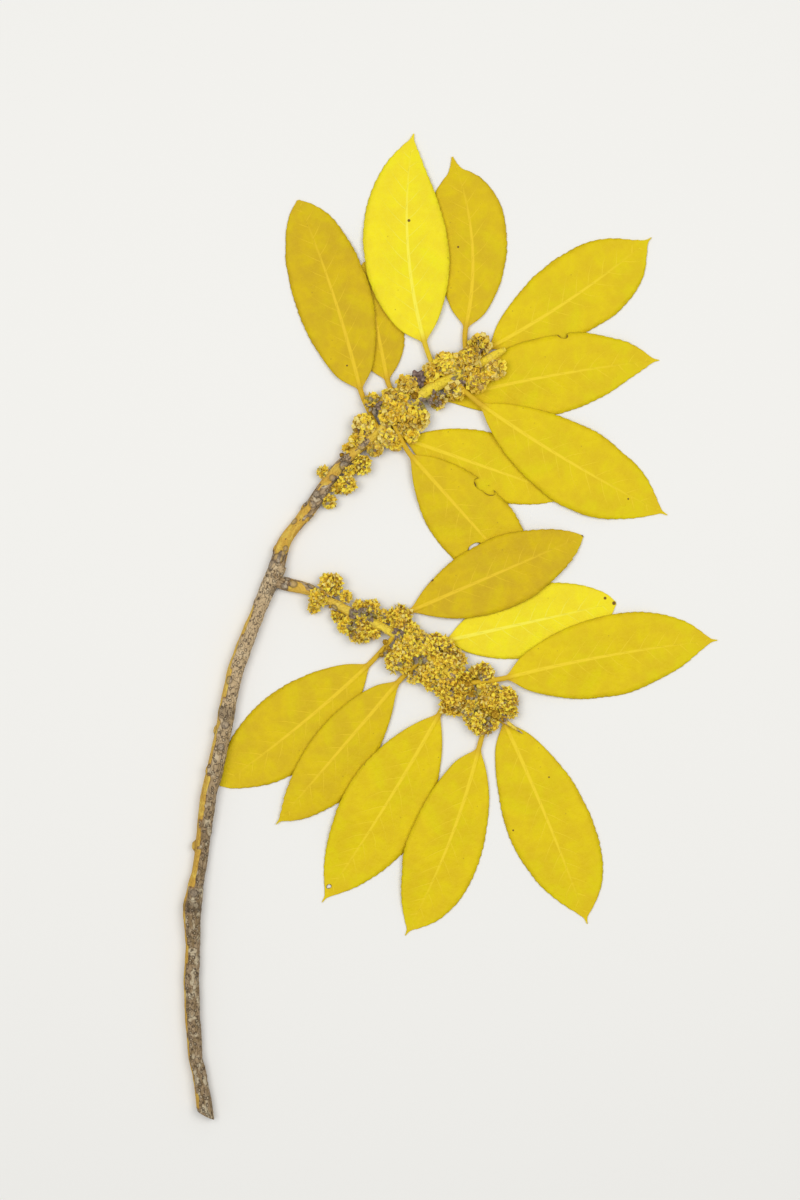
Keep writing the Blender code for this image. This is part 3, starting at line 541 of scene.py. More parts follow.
def blade_half_width(leaf, run, side):
    """Half width on one side: a sine arch raised to a power up to the widest place, a cosine
    arch raised to another from there to the end of the body, then a narrow point."""
    half, widest = side
    base_power, shoulder_power = leaf.powers
    rising = np.sin(0.5 * math.pi * np.clip(run / widest, 0, 1)) ** base_power
    fall = np.clip((run - widest) / (leaf.body_end - widest), 0, 1)
    falling = np.maximum(np.cos(0.5 * math.pi * fall), 0.0) ** shoulder_power
    body = half * np.where(run < widest, rising, falling)
    taper = np.clip((1 - run) / POINT_TAPER, POINT_LEAST, 1)
    point = np.where(run > POINT_START, leaf.point * taper, 0.0)
    base = STALK_HALF_WIDTH[0] * (run < STALK_WIDE_TO)
    return np.maximum(np.maximum(body, point), base)


def blade_outline(leaf):
    """The blade's outline as a closed polygon in plan."""
    run = np.linspace(0.0, 1.0, OUTLINE_ROWS)
    midrib, left = blade_midrib(leaf, run)
    left_edge = midrib + left * blade_half_width(leaf, run, leaf.left)[:, None]
    right_edge = midrib - left * blade_half_width(leaf, run, leaf.right)[:, None]
    return np.vstack([left_edge, right_edge[::-1]])


def distance_outside(outline, points):
    """Distance in plan from points to a polygon, zero inside it."""
    start = outline[None, :, :]
    end = np.roll(outline, -1, axis=0)[None, :, :]
    place = points[:, None, :]
    edge = end - start
    length = np.maximum((edge**2).sum(axis=2), TINY)
    share = np.clip(((place - start) * edge).sum(axis=2) / length, 0.0, 1.0)
    nearest = np.sqrt(((place - start - edge * share[..., None]) ** 2).sum(axis=2)).min(axis=1)
    crosses = (start[..., 1] > place[..., 1]) != (end[..., 1] > place[..., 1])
    rise = np.where(np.abs(edge[..., 1]) < TINY, TINY, edge[..., 1])
    cut = start[..., 0] + (place[..., 1] - start[..., 1]) * edge[..., 0] / rise
    inside = (crosses & (place[..., 0] < cut)).sum(axis=1) % 2 == 1
    return np.where(inside, 0.0, nearest)


OUTLINES = {leaf.name: blade_outline(leaf) for leaf in LEAVES}


def blade_underside(leaf, points):
    """Height of a blade's underside over points in plan. It comes down from its base to the
    surface, and is carried over each blade below by one step, level as far as a little past
    that blade's edge. The heights are joined by the fourth root of their fourth powers."""
    angle = math.radians(leaf.heading)
    from_base = points - (np.array(leaf.base) - BOX_MIDDLE)
    run = (from_base @ [math.cos(angle), math.sin(angle)]) / leaf.length
    total = (leaf.lift * (1.0 - smooth_step(0.0, LIFT_RUN, run))) ** CARRY_POWER
    for name in leaf.over:
        away = distance_outside(OUTLINES[name], points)
        weight = 1.0 - smooth_step(DRAPE_LEVEL, DRAPE_LEVEL + DRAPE_FALL, away)
        carried = blade_underside(LEAF_BY_NAME[name], points) + BLADE_STEP
        total = total + (weight * carried) ** CARRY_POWER
    return total ** (1 / CARRY_POWER)


def stalk_path(leaf, rows):
    """Centre points of a leaf stalk from its shoot to the blade's base, with its half widths.
    In plan it is a cubic curve that ends along the midrib."""
    centre, forward, leftward, radius = limb_frame(LIMBS[leaf.shoot], leaf.station)
    turn = math.radians(leaf.turn)
    outward = -leftward * math.cos(turn) + np.array([0.0, 0.0, math.sin(turn)])
    blade_start = np.append(np.array(leaf.base) - BOX_MIDDLE, leaf.lift + BLADE_ROOM / 2)
    heading = blade_start - centre
    heading[2] = 0.0
    heading /= np.linalg.norm(heading)
    corner = STALK_HALF_WIDTH[1] * abs(heading @ forward)
    above = STALK_HALF_THICK * abs(math.sin(turn))
    first = centre + outward * (radius + GAP + max(corner, above))
    left = blade_midrib(leaf, [0.0])[1][0]
    ahead = np.array([left[1], -left[0], 0.0])
    reach = np.linalg.norm(blade_start[:2] - first[:2]) / 3
    second = first + (blade_start - first) / 3
    third = blade_start - ahead * reach
    t = np.linspace(0.0, 1.0, rows + 1)[:, None]
    path = ((1 - t)**3 * first + 3 * (1 - t)**2 * t * second
            + 3 * (1 - t) * t**2 * third + t**3 * blade_start)
    path = path - outward * STALK_SUNK * (1 - smooth_step(0.0, 0.25, t))
    widths = np.interp(t[:, 0], [0.0, 1.0], STALK_HALF_WIDTH[::-1])
    return path, widths


def spread_run(even):
    """Even shares of a blade's length drawn closer together towards its base and its tip."""
    return even - ROW_SPREAD * np.sin(2 * math.pi * even)


def rounded_half_width(leaf, even, side):
    """The half width on the left, which is side 0, or the right. It is the solid's at each
    station plus the margin's shift, joined by straight lines, and rounded by the mean over a
    window with weights of a squared cosine."""
    stations = np.linspace(0.0, 1.0, BLADE_STATIONS)
    widths = blade_half_width(leaf, spread_run(stations), (leaf.left, leaf.right)[side])
    shift = np.interp(stations, (0.0, *MARGIN_PLACES, 1.0),
                      (0.0, *MARGIN_SHIFTS[leaf.name][side], 0.0))
    widths[1:-1] = np.maximum(widths[1:-1] + shift[1:-1], LEAST_HALF_WIDTH)
    window = np.linspace(-ROUNDING, ROUNDING, ROUNDING_PLACES) / BLADE_STATIONS
    weight = np.cos(window / window[-1] * 0.49 * math.pi) ** 2
    near = np.clip(even[:, None] + window, 0.0, 1.0)
    return np.interp(near, stations, widths) @ weight / weight.sum()


def toothed_half_width(leaf, even, side, seed):
    """The blade's half width with its teeth: a saw that rises over four fifths of its pitch
    and drops over the last, so that the teeth point forward, and a slow unevenness. Both fade
    out at the base and the tip."""
    run = spread_run(even)
    smooth = rounded_half_width(leaf, even, side)
    along = run * leaf.length
    line = np.column_stack([along, np.full_like(along, seed), np.zeros_like(along)])
    part = (along / TOOTH_PITCH + TOOTH_WANDER * noise(line, WANDER_SIZE, seed)) % 1.0
    fall = (1.0 - part) / (1.0 - TOOTH_RISE)
    tooth = np.where(part < TOOTH_RISE, part / TOOTH_RISE, fall) - 0.5
    present = smooth_step(*TEETH_START, run) * (1.0 - smooth_step(*TEETH_END, run))
    uneven = MARGIN_UNEVEN * noise(line, UNEVEN_SIZE, seed + 50, octaves=2)
    strength = TOOTH_STRENGTH + STRENGTH_SWING * noise(line, STRENGTH_SIZE, seed + 90)
    return smooth + present * (TOOTH_DEPTH * tooth * strength + uneven)


def vein_phase(along, offset):
    """Which side vein a place on the blade is near, in spacings from the base. A vein starts
    at the midrib and runs forward by a slope and a square of its distance from there."""
    side = np.abs(offset)
    start = along - VEIN_SLOPE * side - VEIN_CURVE * side**2
    return start / VEIN_SPACING + VEIN_SHIFT * (offset > 0)


def flat_sections(plan, upper, under):
    """Closed cross sections over places in plan, along the upper side and back along the
    lower."""
    over = np.concatenate([plan, upper[..., None]], axis=-1)
    below = np.concatenate([plan, under[..., None]], axis=-1)
    return np.concatenate([over, below[:, ::-1]], axis=1)


# The half height of an ellipse at each place across a blade, in half heights.
ARCH = np.sqrt(1.0 - BLADE_COLUMNS**2)


def stalk_sections(leaf):
    """A leaf stalk's cross sections, which are ellipses, up to just before the blade's base,
    each one's millimetres along the midrib, which are negative, and its half width."""
    path, widths = stalk_path(leaf, STALK_ROWS)
    forward = unit(np.gradient(path, axis=0)[:-1, :2])
    right = np.column_stack([forward[:, 1], -forward[:, 0]])
    path, widths = path[:-1], widths[:-1]
    plan = path[:, None, :2] + right[:, None] * (widths[:, None] * BLADE_COLUMNS)[..., None]
    upper = path[:, None, 2] + STALK_HALF_THICK * ARCH
    under = path[:, None, 2] - STALK_HALF_THICK * ARCH
    steps = np.linalg.norm(np.diff(path[:, :2], axis=0), axis=1)
    to_end = np.concatenate([np.cumsum(steps[::-1])[::-1], [0.0]])
    return flat_sections(plan, upper, under), -(to_end + steps[-1]), widths


def blade_sections(leaf, seed):
    """A blade's cross sections, and for each place across them its millimetres along and left
    of the midrib and which side vein it is near. The sheet has a thin margin, a midrib that is
    the stalk's ellipse dying away, and a low swelling between the side veins: the squared sine
    of their phase."""
    columns = BLADE_COLUMNS
    even = np.linspace(0.0, 1.0, BLADE_ROWS)
    midrib, left = blade_midrib(leaf, spread_run(even))
    left_half = toothed_half_width(leaf, even, 0, seed)
    right_half = toothed_half_width(leaf, even, 1, seed + 200)
    offset = -np.where(columns < 0, left_half[:, None], right_half[:, None]) * columns
    plan = midrib[:, None] + left[:, None] * offset[..., None]
    run = spread_run(even)[:, None]
    along = run * leaf.length
    phase = vein_phase(along + VEIN_WANDER * flat_noise(plan, VEIN_WANDER_SIZE, seed + 9), offset)

    # Waves, ripples and swellings leave the base flat.
    body = smooth_step(*WAVES_START, run)
    wave = WAVE_RISE * body * (0.5 + 0.5 * flat_noise(plan, WAVE_SIZE, seed + 7))
    ripple = RIPPLE_RISE * body * np.abs(columns) ** 4
    ripple = ripple * (0.5 + 0.5 * flat_noise(plan, RIPPLE_SIZE, seed + 8))
    quilt = QUILT_RISE * body * np.sin(math.pi * phase) ** 2
    quilt = quilt * (1.0 - columns**4) * smooth_step(0.3, 2.0, np.abs(offset))
    rib_half = RIB_HALF_WIDTH + RIB_WIDENING * (1.0 - run) ** 2
    stalk_end = np.clip(1.0 - run / STALK_END_TO, 0.0, 1.0) ** 2
    rib_rise = RIB_RISE * (1.0 - run) + STALK_END_RISE * stalk_end
    rib = rib_rise * np.sqrt(np.clip(1.0 - (offset / rib_half) ** 2, 0.0, 1.0))
    sheet = BLADE_THICK * (1.0 - MARGIN_THINNING * np.abs(columns) ** 8)
    under = blade_underside(leaf, plan.reshape(-1, 2)).reshape(offset.shape) + wave + ripple
    upper = under + sheet + rib + quilt
    stalk_under = 1.0 - smooth_step(0.0, STALK_UNDER_TO, run)
    under = under + stalk_under * (BLADE_ROOM / 2 - STALK_HALF_THICK * ARCH)
    return flat_sections(plan, upper, under), np.broadcast_to(along, offset.shape), offset, phase


def leaf_surface(leaf, seed):
    """A leaf as closed cross sections from the foot of its stalk to its tip, and three maps
    with two values for each point: its millimetres along and left of the midrib, its share of
    the half width and of the length, and which side vein it is near."""
    stalk, stalk_along, widths = stalk_sections(leaf)
    blade, along, offset, phase = blade_sections(leaf, seed)
    columns = np.broadcast_to(BLADE_COLUMNS, (len(widths), len(BLADE_COLUMNS)))
    along = np.concatenate([np.broadcast_to(stalk_along[:, None], columns.shape), along])
    offset = np.concatenate([-widths[:, None] * columns, offset])
    share = np.broadcast_to(np.abs(BLADE_COLUMNS), along.shape)
    # The stalk has no veins: it lies halfway between two.
    phase = np.concatenate([np.full(columns.shape, 0.5), phase])
    maps = {
        "blade": np.stack([along, offset], axis=-1) / UV_MM,
        "edge": np.stack([share, np.clip(along / leaf.length, 0.0, 1.0)], axis=-1),
        "veins": np.stack([phase, phase], axis=-1),
    }
    maps = {name: np.concatenate([part, part[:, ::-1]], axis=1) for name, part in maps.items()}
    return settle(np.concatenate([stalk, blade])), maps


# How far the looks of a limb run on past its foot and its end, so that the fork is closed.
RUN_ON = {"stem": (0.0, 3.0), "upper": (3.0, 0.0), "side": (4.0, 0.0)}


def lengthen(limb, before, after):
    """A limb with straight runs added before its foot and after its end."""
    steps = [-BARK_STEP * np.arange(round(before / BARK_STEP), 0, -1),
             BARK_STEP * np.arange(1, round(after / BARK_STEP) + 1)]
    stations = np.concatenate([steps[0], limb.stations, limb.stations[-1] + steps[1]])
    ends = []
    for step, end, inner in ((steps[0], 0, 1), (steps[1], -1, -2)):
        length = limb.stations[end] - limb.stations[inner]
        slope = (limb.centre[end] - limb.centre[inner]) / length
        ends.append(limb.centre[end] + step[:, None] * slope)
    radius = np.interp(stations, limb.stations, limb.radius)
    return Limb(stations, np.concatenate([ends[0], limb.centre, ends[1]]), radius)


# The seeds of the limbs' bark, and where a shoot's inner bark starts along it.
BARK_SEEDS = {"stem": 11, "upper": 23, "side": 37}
INNER_STARTS = {"upper": 3.5, "side": 2.5}
# The noise that frays the edge of the stem's strips, and the noise of the grey skin's patches:
# their sizes round the limb and along it. Then how far the frays go, in widths of the stem.
FRAY_SIZE = (2.0, 2.0, 3.5)
PATCH_SIZE = (1.8, 1.8, 5.0)
FRAY = 0.06
# Half the length over which a strip of the stem, and a stretch of a shoot, starts and ends.
STRIP_SOFT = 1.2
STRETCH_SOFT = 1.5
# The relief of a limb's skin: the rise of its lengthwise ridges, cross wrinkles and lumps, and
# their sizes. Then the shoots' share of it, how much of it inner bark loses, and how deep the
# stem's inner bark lies under its skin.
RIDGE_RISE, WRINKLE_RISE, LUMP_RISE = 0.16, 0.10, 0.16
RIDGE_SIZE = (0.9, 0.9, 5.0)
WRINKLE_SIZE = (2.5, 2.5, 0.9)
LUMP_SIZE = 4.0
SHOOT_RELIEF = 0.6
INNER_SMOOTHING = 0.75
INNER_DEPTH = 0.12
# How much a shoot's sides add to its grey skin, and where across it that comes in. Then between
# which covers skin takes the place of inner bark, and how far its patches move the start.
SIDE_COVER = 0.9
SIDE_START = (0.45, 0.95)
SKIN_COVERS = (0.30, 0.42)
START_SHIFT = 1.5
# The width of the edge of a strip of the stem, in widths of the stem.
STRIP_EDGE = 0.05


def inner_bark(name, place, across, seed):
    """How far each point of a limb is inner bark, from zero to one. It shows on the stem in
    strips along its left side with frayed edges. On a shoot it shows from its start on, but
    for the patches of grey skin, which are thicker at its two sides."""
    along = place[..., 2]
    if name == "stem":
        inner = np.zeros(along.shape)
        depth = 0.5 + 0.5 * across + FRAY * noise(place, FRAY_SIZE, seed + 1, octaves=3)
        for strip in STEM_STRIPS:
            inside = stretch(strip.start, strip.end, STRIP_SOFT, along)
            shown = 1.0 - smooth_step(0.0, STRIP_EDGE, depth - strip.share)
            inner = np.maximum(inner, inside * shown)
        return inner
    patches = noise(place, PATCH_SIZE, seed + 2, octaves=3)
    cover = patches + SIDE_COVER * (GREY_SIDES[name] * smooth_step(*SIDE_START, np.abs(across)))
    for start, end, more in GREY_STRETCHES[name]:
        cover = cover + more * stretch(start, end, STRETCH_SOFT, along)
    start = INNER_STARTS[name]
    shifted = along + START_SHIFT * patches
    inner = smooth_step(start - STRETCH_SOFT, start + STRETCH_SOFT, shifted)
    return inner * (1.0 - smooth_step(*SKIN_COVERS, cover))


def mark_fields(name, limb, turn, along):
    """How far each point of a limb is pale scar and dark band, and how far the marks raise it.
    With q for the squared distance from a mark's middle in its half sizes, a band or a swelling
    rises by exp(-q), a bud by exp(-q^2), and a scar by a bell and a ring. A ring at a distance
    d with a width w is exp(-((q^0.5 - d) / w)^2)."""
    scar, dark, rise = (np.zeros(along.shape) for _ in range(3))

    def ring(squared, distance, width):
        return np.exp(-((np.sqrt(squared) - distance) / width) ** 2)

    for mark in BARK_MARKS[name]:
        away = np.angle(np.exp(1j * (turn - math.radians(mark.turn))))
        away_round = away * limb.radius[:, None]
        squared = ((along - mark.station) / mark.long) ** 2 + (away_round / mark.wide) ** 2
        bell = np.exp(-squared)
        if mark.kind == "scar":
            rim = ring(squared, 0.9, 0.25)
            scar = np.maximum(scar, 1.0 - smooth_step(0.6, 1.0, squared))
            dark = np.maximum(dark, np.maximum(0.8 * rim, 0.45 * ring(squared, 0.42, 0.12)))
            rise = rise + mark.rise * (0.4 * bell + 0.6 * rim)
        elif mark.kind == "bud":
            dark = np.maximum(dark, 0.6 * ring(squared, 1.1, 0.3))
            rise = rise + mark.rise * np.exp(-squared**2)
        else:
            rise = rise + mark.rise * bell
            if mark.kind == "band":
                dark = np.maximum(dark, 0.55 * smooth_step(0.2, 0.6, bell))
    return scar, dark, rise


def bark_surface(name, sides):
    """A limb as closed cross sections, with two vectors for each point: its place on the bark,
    which is the radius times the cosine and the sine of its turn and the millimetres along,
    and how far it is inner bark, pale scar and dark band. Its radius has lengthwise ridges,
    cross wrinkles and lumps, all from noise, and a rise at each mark."""
    limb = lengthen(make_limb(LIMB_WAYS[name], BARK_STEP), *RUN_ON[name])
    turn = -0.5 * math.pi - 2 * math.pi * np.arange(sides) / sides
    circle = np.stack([np.cos(turn), np.sin(turn)], axis=-1)
    round_place = limb.radius[:, None, None] * circle
    along = np.broadcast_to(limb.stations[:, None], round_place.shape[:2])
    place = np.concatenate([round_place, along[..., None]], axis=-1)
    seed = BARK_SEEDS[name]
    inner = inner_bark(name, place, circle[:, 0], seed)
    scar, dark, rise = mark_fields(name, limb, turn, along)

    rough = 1.0 - INNER_SMOOTHING * inner
    size = 1.0 if name == "stem" else SHOOT_RELIEF
    ridges = RIDGE_RISE * noise(place, RIDGE_SIZE, seed + 3, octaves=2)
    wrinkles = WRINKLE_RISE * noise(place, WRINKLE_SIZE, seed + 4, octaves=2)
    relief = size * rough * (ridges + wrinkles)
    relief += size * LUMP_RISE * noise(place, LUMP_SIZE, seed + 5, octaves=2)
    relief += rise - INNER_DEPTH * inner * (name == "stem")

    ahead = unit(np.gradient(limb.centre, axis=0))
    right = unit(np.cross(ahead, [0.0, 0.0, 1.0]))
    radius = limb.radius[:, None] + relief
    rings = limb.centre[:, None] + (radius * circle[:, 0])[..., None] * right[:, None]
    rings[..., 2] += radius * circle[:, 1]
    if name == "stem":
        fade = np.clip(1.0 - limb.stations / FOOT_SLANT_TO, 0.0, 1.0)[:, None]
        slant = FOOT_SLANT * (radius * circle[:, 0]) * fade
        rings += slant[..., None] * ahead[0]
    return settle(rings), place, np.stack([inner, scar, dark], axis=-1)


def skin(rings):
    """Points and faces of closed bodies. The rings have the shape bodies, rows, places round,
    3. Each body's side joins its rows, and each end pairs every place of the first half of the
    round with its opposite in the second half."""
    bodies, rows, around = rings.shape[:3]
    index = np.arange(rows * around).reshape(rows, around)
    ahead = np.roll(index, -1, axis=1)
    sides = np.stack([index[:-1], ahead[:-1], ahead[1:], index[1:]], axis=-1).reshape(-1, 4)
    low = np.arange(around // 2 - 1)
    cap = np.stack([low, low + 1, around - 2 - low, around - 1 - low], axis=-1)
    faces = np.concatenate([sides, cap[:, ::-1], cap + index[-1, 0]])
    offsets = np.arange(bodies)[:, None, None] * rows * around
    return rings.reshape(-1, 3), (faces + offsets).reshape(-1, 4), len(faces)


def new_object(name, data):
    """A new object in the scene."""
    made = bpy.data.objects.new(name, data)
    bpy.context.scene.collection.objects.link(made)
    return made


def srgb_to_linear(code):
    """Linear RGBA of an sRGB hex colour."""
    parts = [int(code[i:i + 2], 16) / 255 for i in (0, 2, 4)]
    return [p / 12.92 if p <= 0.04045 else ((p + 0.055) / 1.055) ** 2.4 for p in parts] + [1.0]


def add(tree, kind, inputs, out=0, **settings):
    """The chosen output of a new shader node. An input is linked where its value is another
    node's output, and set where it is a number, a vector or a colour."""
    node = tree.nodes.new(f"ShaderNode{kind}")
    for setting, value in settings.items():
        setattr(node, setting, value)
    for socket, value in inputs.items():
        if isinstance(value, bpy.types.NodeSocket):
            tree.links.new(value, node.inputs[socket])
        else:
            node.inputs[socket].default_value = value
    return node.outputs[out]


def paint(tree, colour, layers):
    """Lays colours over a base, one after another. Each layer gives a value, the value where
    it covers most, the value where it has gone, how much it covers at most, and its colour."""
    for value, full, gone, cover, over in layers:
        share = add(tree, "MapRange", {0: value, 1: gone, 2: full, 4: cover},
                    interpolation_type="SMOOTHSTEP")
        colour = add(tree, "Mix", {0: share, 6: colour, 7: over}, out=2, data_type="RGBA")
    return colour


def new_material(name, roughness, specular):
    """A Principled material, with the numbers that are the same all over on its own sockets."""
    material = bpy.data.materials.new(name)
    material.use_nodes = True
    shader = material.node_tree.nodes["Principled BSDF"]
    shader.inputs["Roughness"].default_value = roughness
    shader.inputs["Specular IOR Level"].default_value = specular
    return material, material.node_tree, shader


def finish_material(tree, shader, colour, dents, depth_mm):
    """Links the colour, and a bump of the given depth. Each dent gives a value, the value
    where it is deepest, the value where it has gone, and its share of the depth."""
    height = 0.0
    for value, deepest, gone, depth in dents:
        height = add(tree, "Math", {
            0: add(tree, "MapRange", {0: value, 1: gone, 2: deepest, 4: -depth},
                   interpolation_type="SMOOTHSTEP"),
            1: height,
        }, operation="ADD")
    tree.links.new(colour, shader.inputs["Base Color"])
    bump = add(tree, "Bump", {
        "Height": height, "Distance": depth_mm * MM, "Strength": 1.0,
    }, out="Normal")
    tree.links.new(bump, shader.inputs["Normal"])


# Blade tints: the main colour, the greener and the browner patches, the veins and the stalk.
LeafTint = namedtuple("LeafTint", "main green brown vein stalk")
LEAF_TINTS = {
    "gold": LeafTint("E7CD0E", "E2CE0A", "DDBC18", "F4D62E", "DCB62C"),
    "bright": LeafTint("F8E620", "F4E81A", "F0D828", "FCEF50", "E2C230"),
    "amber": LeafTint("E1C40E", "DEC60C", "D4B21C", "F0CE2C", "DAB32C"),
    "ochre": LeafTint("DBBB0E", "DABF0C", "CCA81E", "ECC82C", "D8B02C"),
}


def share_of_patch(tree, plan, patch):
    """How far a place in plan is from a patch's middle, in the patch's radii."""
    flat = add(tree, "VectorMath", {0: plan, 1: (1.0, 1.0, 0.0)}, operation="MULTIPLY")
    turned = add(tree, "Mapping", {
        "Vector": flat,
        "Location": (patch.x * MM, patch.y * MM, 0.0),
        "Rotation": (0.0, 0.0, math.radians(patch.turn)),
        "Scale": (patch.long * MM, patch.short * MM, 1.0),
    }, vector_type="TEXTURE")
    return add(tree, "VectorMath", {0: turned}, out="Value", operation="LENGTH")


# How wide the dead brown rim of a bite is.
RIM_WIDTH = 0.3


def leaf_material(leaf, look):
    """A dried leathery leaf: cured to a flat yellow with a dull, waxy face, paler midrib and
    side veins, a net of fine veins about 1.6 mm across, slow patches, brown specks, and a thin
    dark margin line that is partly painted shade."""
    tint = LeafTint(*(srgb_to_linear(code) for code in LEAF_TINTS[look.tint]))
    # Dead brown: the own colour of specks and of the rims of bites, and painted shade on the thin
    # line along the margin.
    dead_brown_and_edge_shade = srgb_to_linear("7A5A24")
    material, tree, shader = new_material(f"dried_leathery_{leaf.name}", 0.55, 0.12)
    uv = add(tree, "UVMap", {}, uv_map="blade")
    place = add(tree, "VectorMath", {0: uv, "Scale": UV_MM}, operation="SCALE")
    along, offset = (add(tree, "SeparateXYZ", {0: place}, out=i) for i in (0, 1))
    edge_uv = add(tree, "UVMap", {}, uv_map="edge")
    share, run = (add(tree, "SeparateXYZ", {0: edge_uv}, out=i) for i in (0, 1))
    vein_uv = add(tree, "UVMap", {}, uv_map="veins")
    phase = add(tree, "SeparateXYZ", {0: vein_uv}, out=0)

    # A side vein is half a millimetre wide, and is lost towards the margin.
    from_vein = add(tree, "Math", {0: phase, 1: 0.5}, operation="PINGPONG")
    to_margin = add(tree, "MapRange", {0: share, 1: 0.25, 2: 0.95, 4: 0.06})
    from_vein = add(tree, "Math", {0: from_vein, 1: to_margin}, operation="ADD")
    side = add(tree, "Math", {0: offset}, operation="ABSOLUTE")
    rib_half = add(tree, "Math", {0: run, 1: -0.55, 2: 0.8}, operation="MULTIPLY_ADD")
    from_rib = add(tree, "Math", {0: side, 1: rib_half}, operation="DIVIDE")
    rib_cover = add(tree, "MapRange", {0: run, 1: 0.55, 2: 0.95, 3: 1.0, 4: 0.0})
    net = add(tree, "TexVoronoi", {"Vector": place, "Scale": 1 / 1.6}, feature="DISTANCE_TO_EDGE")
    slow, clouds, fine = (
        add(tree, "TexNoise", {"Vector": place, "Scale": 1 / size, "Detail": detail})
        for size, detail in ((20.0, 2.0), (9.0, 4.0), (2.4, 3.0))
    )
    speck = add(tree, "TexVoronoi", {"Vector": place, "Scale": 1 / 7.0})

    colour = paint(tree, tint.main, [
        (slow, 0.62, 0.42, 1.0, tint.green),
        (clouds, 0.66, 0.38, 0.75, tint.brown),
        (fine, 0.72, 0.36, 0.35, tint.brown),
        (net, 0.0, 0.16, 0.10, tint.vein),
        (from_vein, 0.0, 0.06, 0.75, tint.vein),
        (from_rib, 0.55, 1.25, rib_cover, tint.vein),
        (along, -1.0, 4.0, 1.0, tint.stalk),
        # A thin dark line along the margin: partly the dried margin's own brown, partly painted
        # shade of the blade's edge.
        (share, 1.0, 0.975, 0.35, dead_brown_and_edge_shade),
        (speck, 0.02, 0.05, 0.55, dead_brown_and_edge_shade),
    ])
    plan = add(tree, "TexCoord", {}, out="Object")
    rims = [(patch, 1.0, 1.0 + RIM_WIDTH / patch.short) for patch in BITES.get(leaf.name, [])]
    spots = [(patch, 0.6, 1.0) for patch in look.spots]
    colour = paint(tree, colour, [(share_of_patch(tree, plan, patch), full, gone, 1.0, dead_brown_and_edge_shade)
                                  for patch, full, gone in rims + spots])
    finish_material(tree, shader, colour, [
        (fine, 0.3, 0.7, 1.0),
        (net, 0.0, 0.16, 0.25),
        (from_vein, 0.0, 0.06, 0.5),
    ], 0.12)
    return material


def bark_material(name, main, dark, pale, far_main, inner, far_inner, change):
    """Thin smooth holly bark, dried and wrinkled: a dull skin mottled from brown to pale,
    with fine dark cracks that run in closed loops, round pores with a dark rim, the ochre
    inner bark where the skin is gone, grey scars and dark bands. Skin and inner bark grow
    paler along the limb between the two stations of the change."""
    main, dark, pale, far_main, inner, far_inner = (
        srgb_to_linear(code) for code in (main, dark, pale, far_main, inner, far_inner)
    )
    inner_dark, inner_pale = srgb_to_linear("B88C34"), srgb_to_linear("F2D660")
    grey, black = srgb_to_linear("B8A892"), srgb_to_linear("4C3E30")
    material, tree, shader = new_material(name, 0.75, 0.25)
    place = add(tree, "Attribute", {}, out="Vector", attribute_name="bark_place")
    marks = add(tree, "Attribute", {}, out="Vector", attribute_name="bark_marks")
    is_inner, is_scar, is_dark = (
        add(tree, "SeparateXYZ", {0: marks}, out=i) for i in (0, 1, 2)
    )
    # Grain that runs lengthwise is drawn out by one and a half to two and a half times.
    drawn, drawn_far = (
        add(tree, "VectorMath", {0: place, 1: (1.0, 1.0, share)}, operation="MULTIPLY")
        for share in (0.65, 0.4)
    )
    streak, speckle, patch, loops = (
        add(tree, "TexNoise", {"Vector": grain, "Scale": 1 / size, "Detail": detail})
        for grain, size, detail in (
            (drawn_far, 1.0, 3.0), (place, 0.7, 3.0), (drawn, 2.6, 2.0), (drawn, 1.3, 1.0),
        )
    )
    station = add(tree, "SeparateXYZ", {0: place}, out=2)
    pore = add(tree, "TexVoronoi", {"Vector": place, "Scale": 1 / 1.9})
    # Cracks run where the loops' noise is at its middle, and rims where a pore's edge lies.
    loops, pore_rim = (
        add(tree, "Math", {
            0: add(tree, "Math", {0: value, 1: edge}, operation="SUBTRACT"),
        }, operation="ABSOLUTE")
        for value, edge in ((loops, 0.5), (pore, 0.27))
    )

    skin_colour = paint(tree, main, [
        (streak, 0.38, 0.62, 1.0, dark),
        (patch, 0.66, 0.50, 0.9, pale),
        (speckle, 0.34, 0.46, 0.5, dark),
        (station, change[1], change[0], 0.6, far_main),
        (pore, 0.15, 0.25, 0.5, pale),
        (loops, 0.006, 0.04, 0.75, black),
        (pore_rim, 0.03, 0.11, 0.7, black),
    ])
    inner_colour = paint(tree, inner, [
        (station, change[1], change[0], 1.0, far_inner),
        (patch, 0.66, 0.44, 0.5, inner_pale),
        (streak, 0.70, 0.54, 0.35, inner_dark),
        (speckle, 0.30, 0.37, 0.7, inner_dark),
    ])
    # The skin frays to a brown fringe before the inner bark shows.
    fringe = srgb_to_linear("8E5F22")
    colour = paint(tree, skin_colour, [
        (is_inner, 0.35, 0.05, 0.6, fringe),
        (is_inner, 0.75, 0.45, 1.0, inner_colour),
        (is_scar, 1.0, 0.0, 0.45, grey),
        (is_dark, 1.0, 0.0, 0.75, black),
    ])
    finish_material(tree, shader, colour, [
        (streak, 0.3, 0.7, 1.0),
        (speckle, 0.3, 0.7, 0.5),
        (loops, 0.0, 0.04, 0.7),
        (pore_rim, 0.0, 0.11, 0.5),
    ], 0.2)
    return material


def tissue_material(name, main, shade, size, roughness, specular=0.25):
    """A small dried part: its main colour mottled with its shade at a feature size in
    millimetres, and a bump of the same grain."""
    material, tree, shader = new_material(name, roughness, specular)
    metres = add(tree, "TexCoord", {}, out="Object")
    mottle = add(tree, "TexNoise", {"Vector": metres, "Scale": 1 / (size * MM)})
    colour = paint(tree, srgb_to_linear(main), [(mottle, 0.40, 0.64, 1.0, srgb_to_linear(shade))])
    finish_material(tree, shader, colour, [(mottle, 0.3, 0.7, 1.0)], 0.1)
    return material


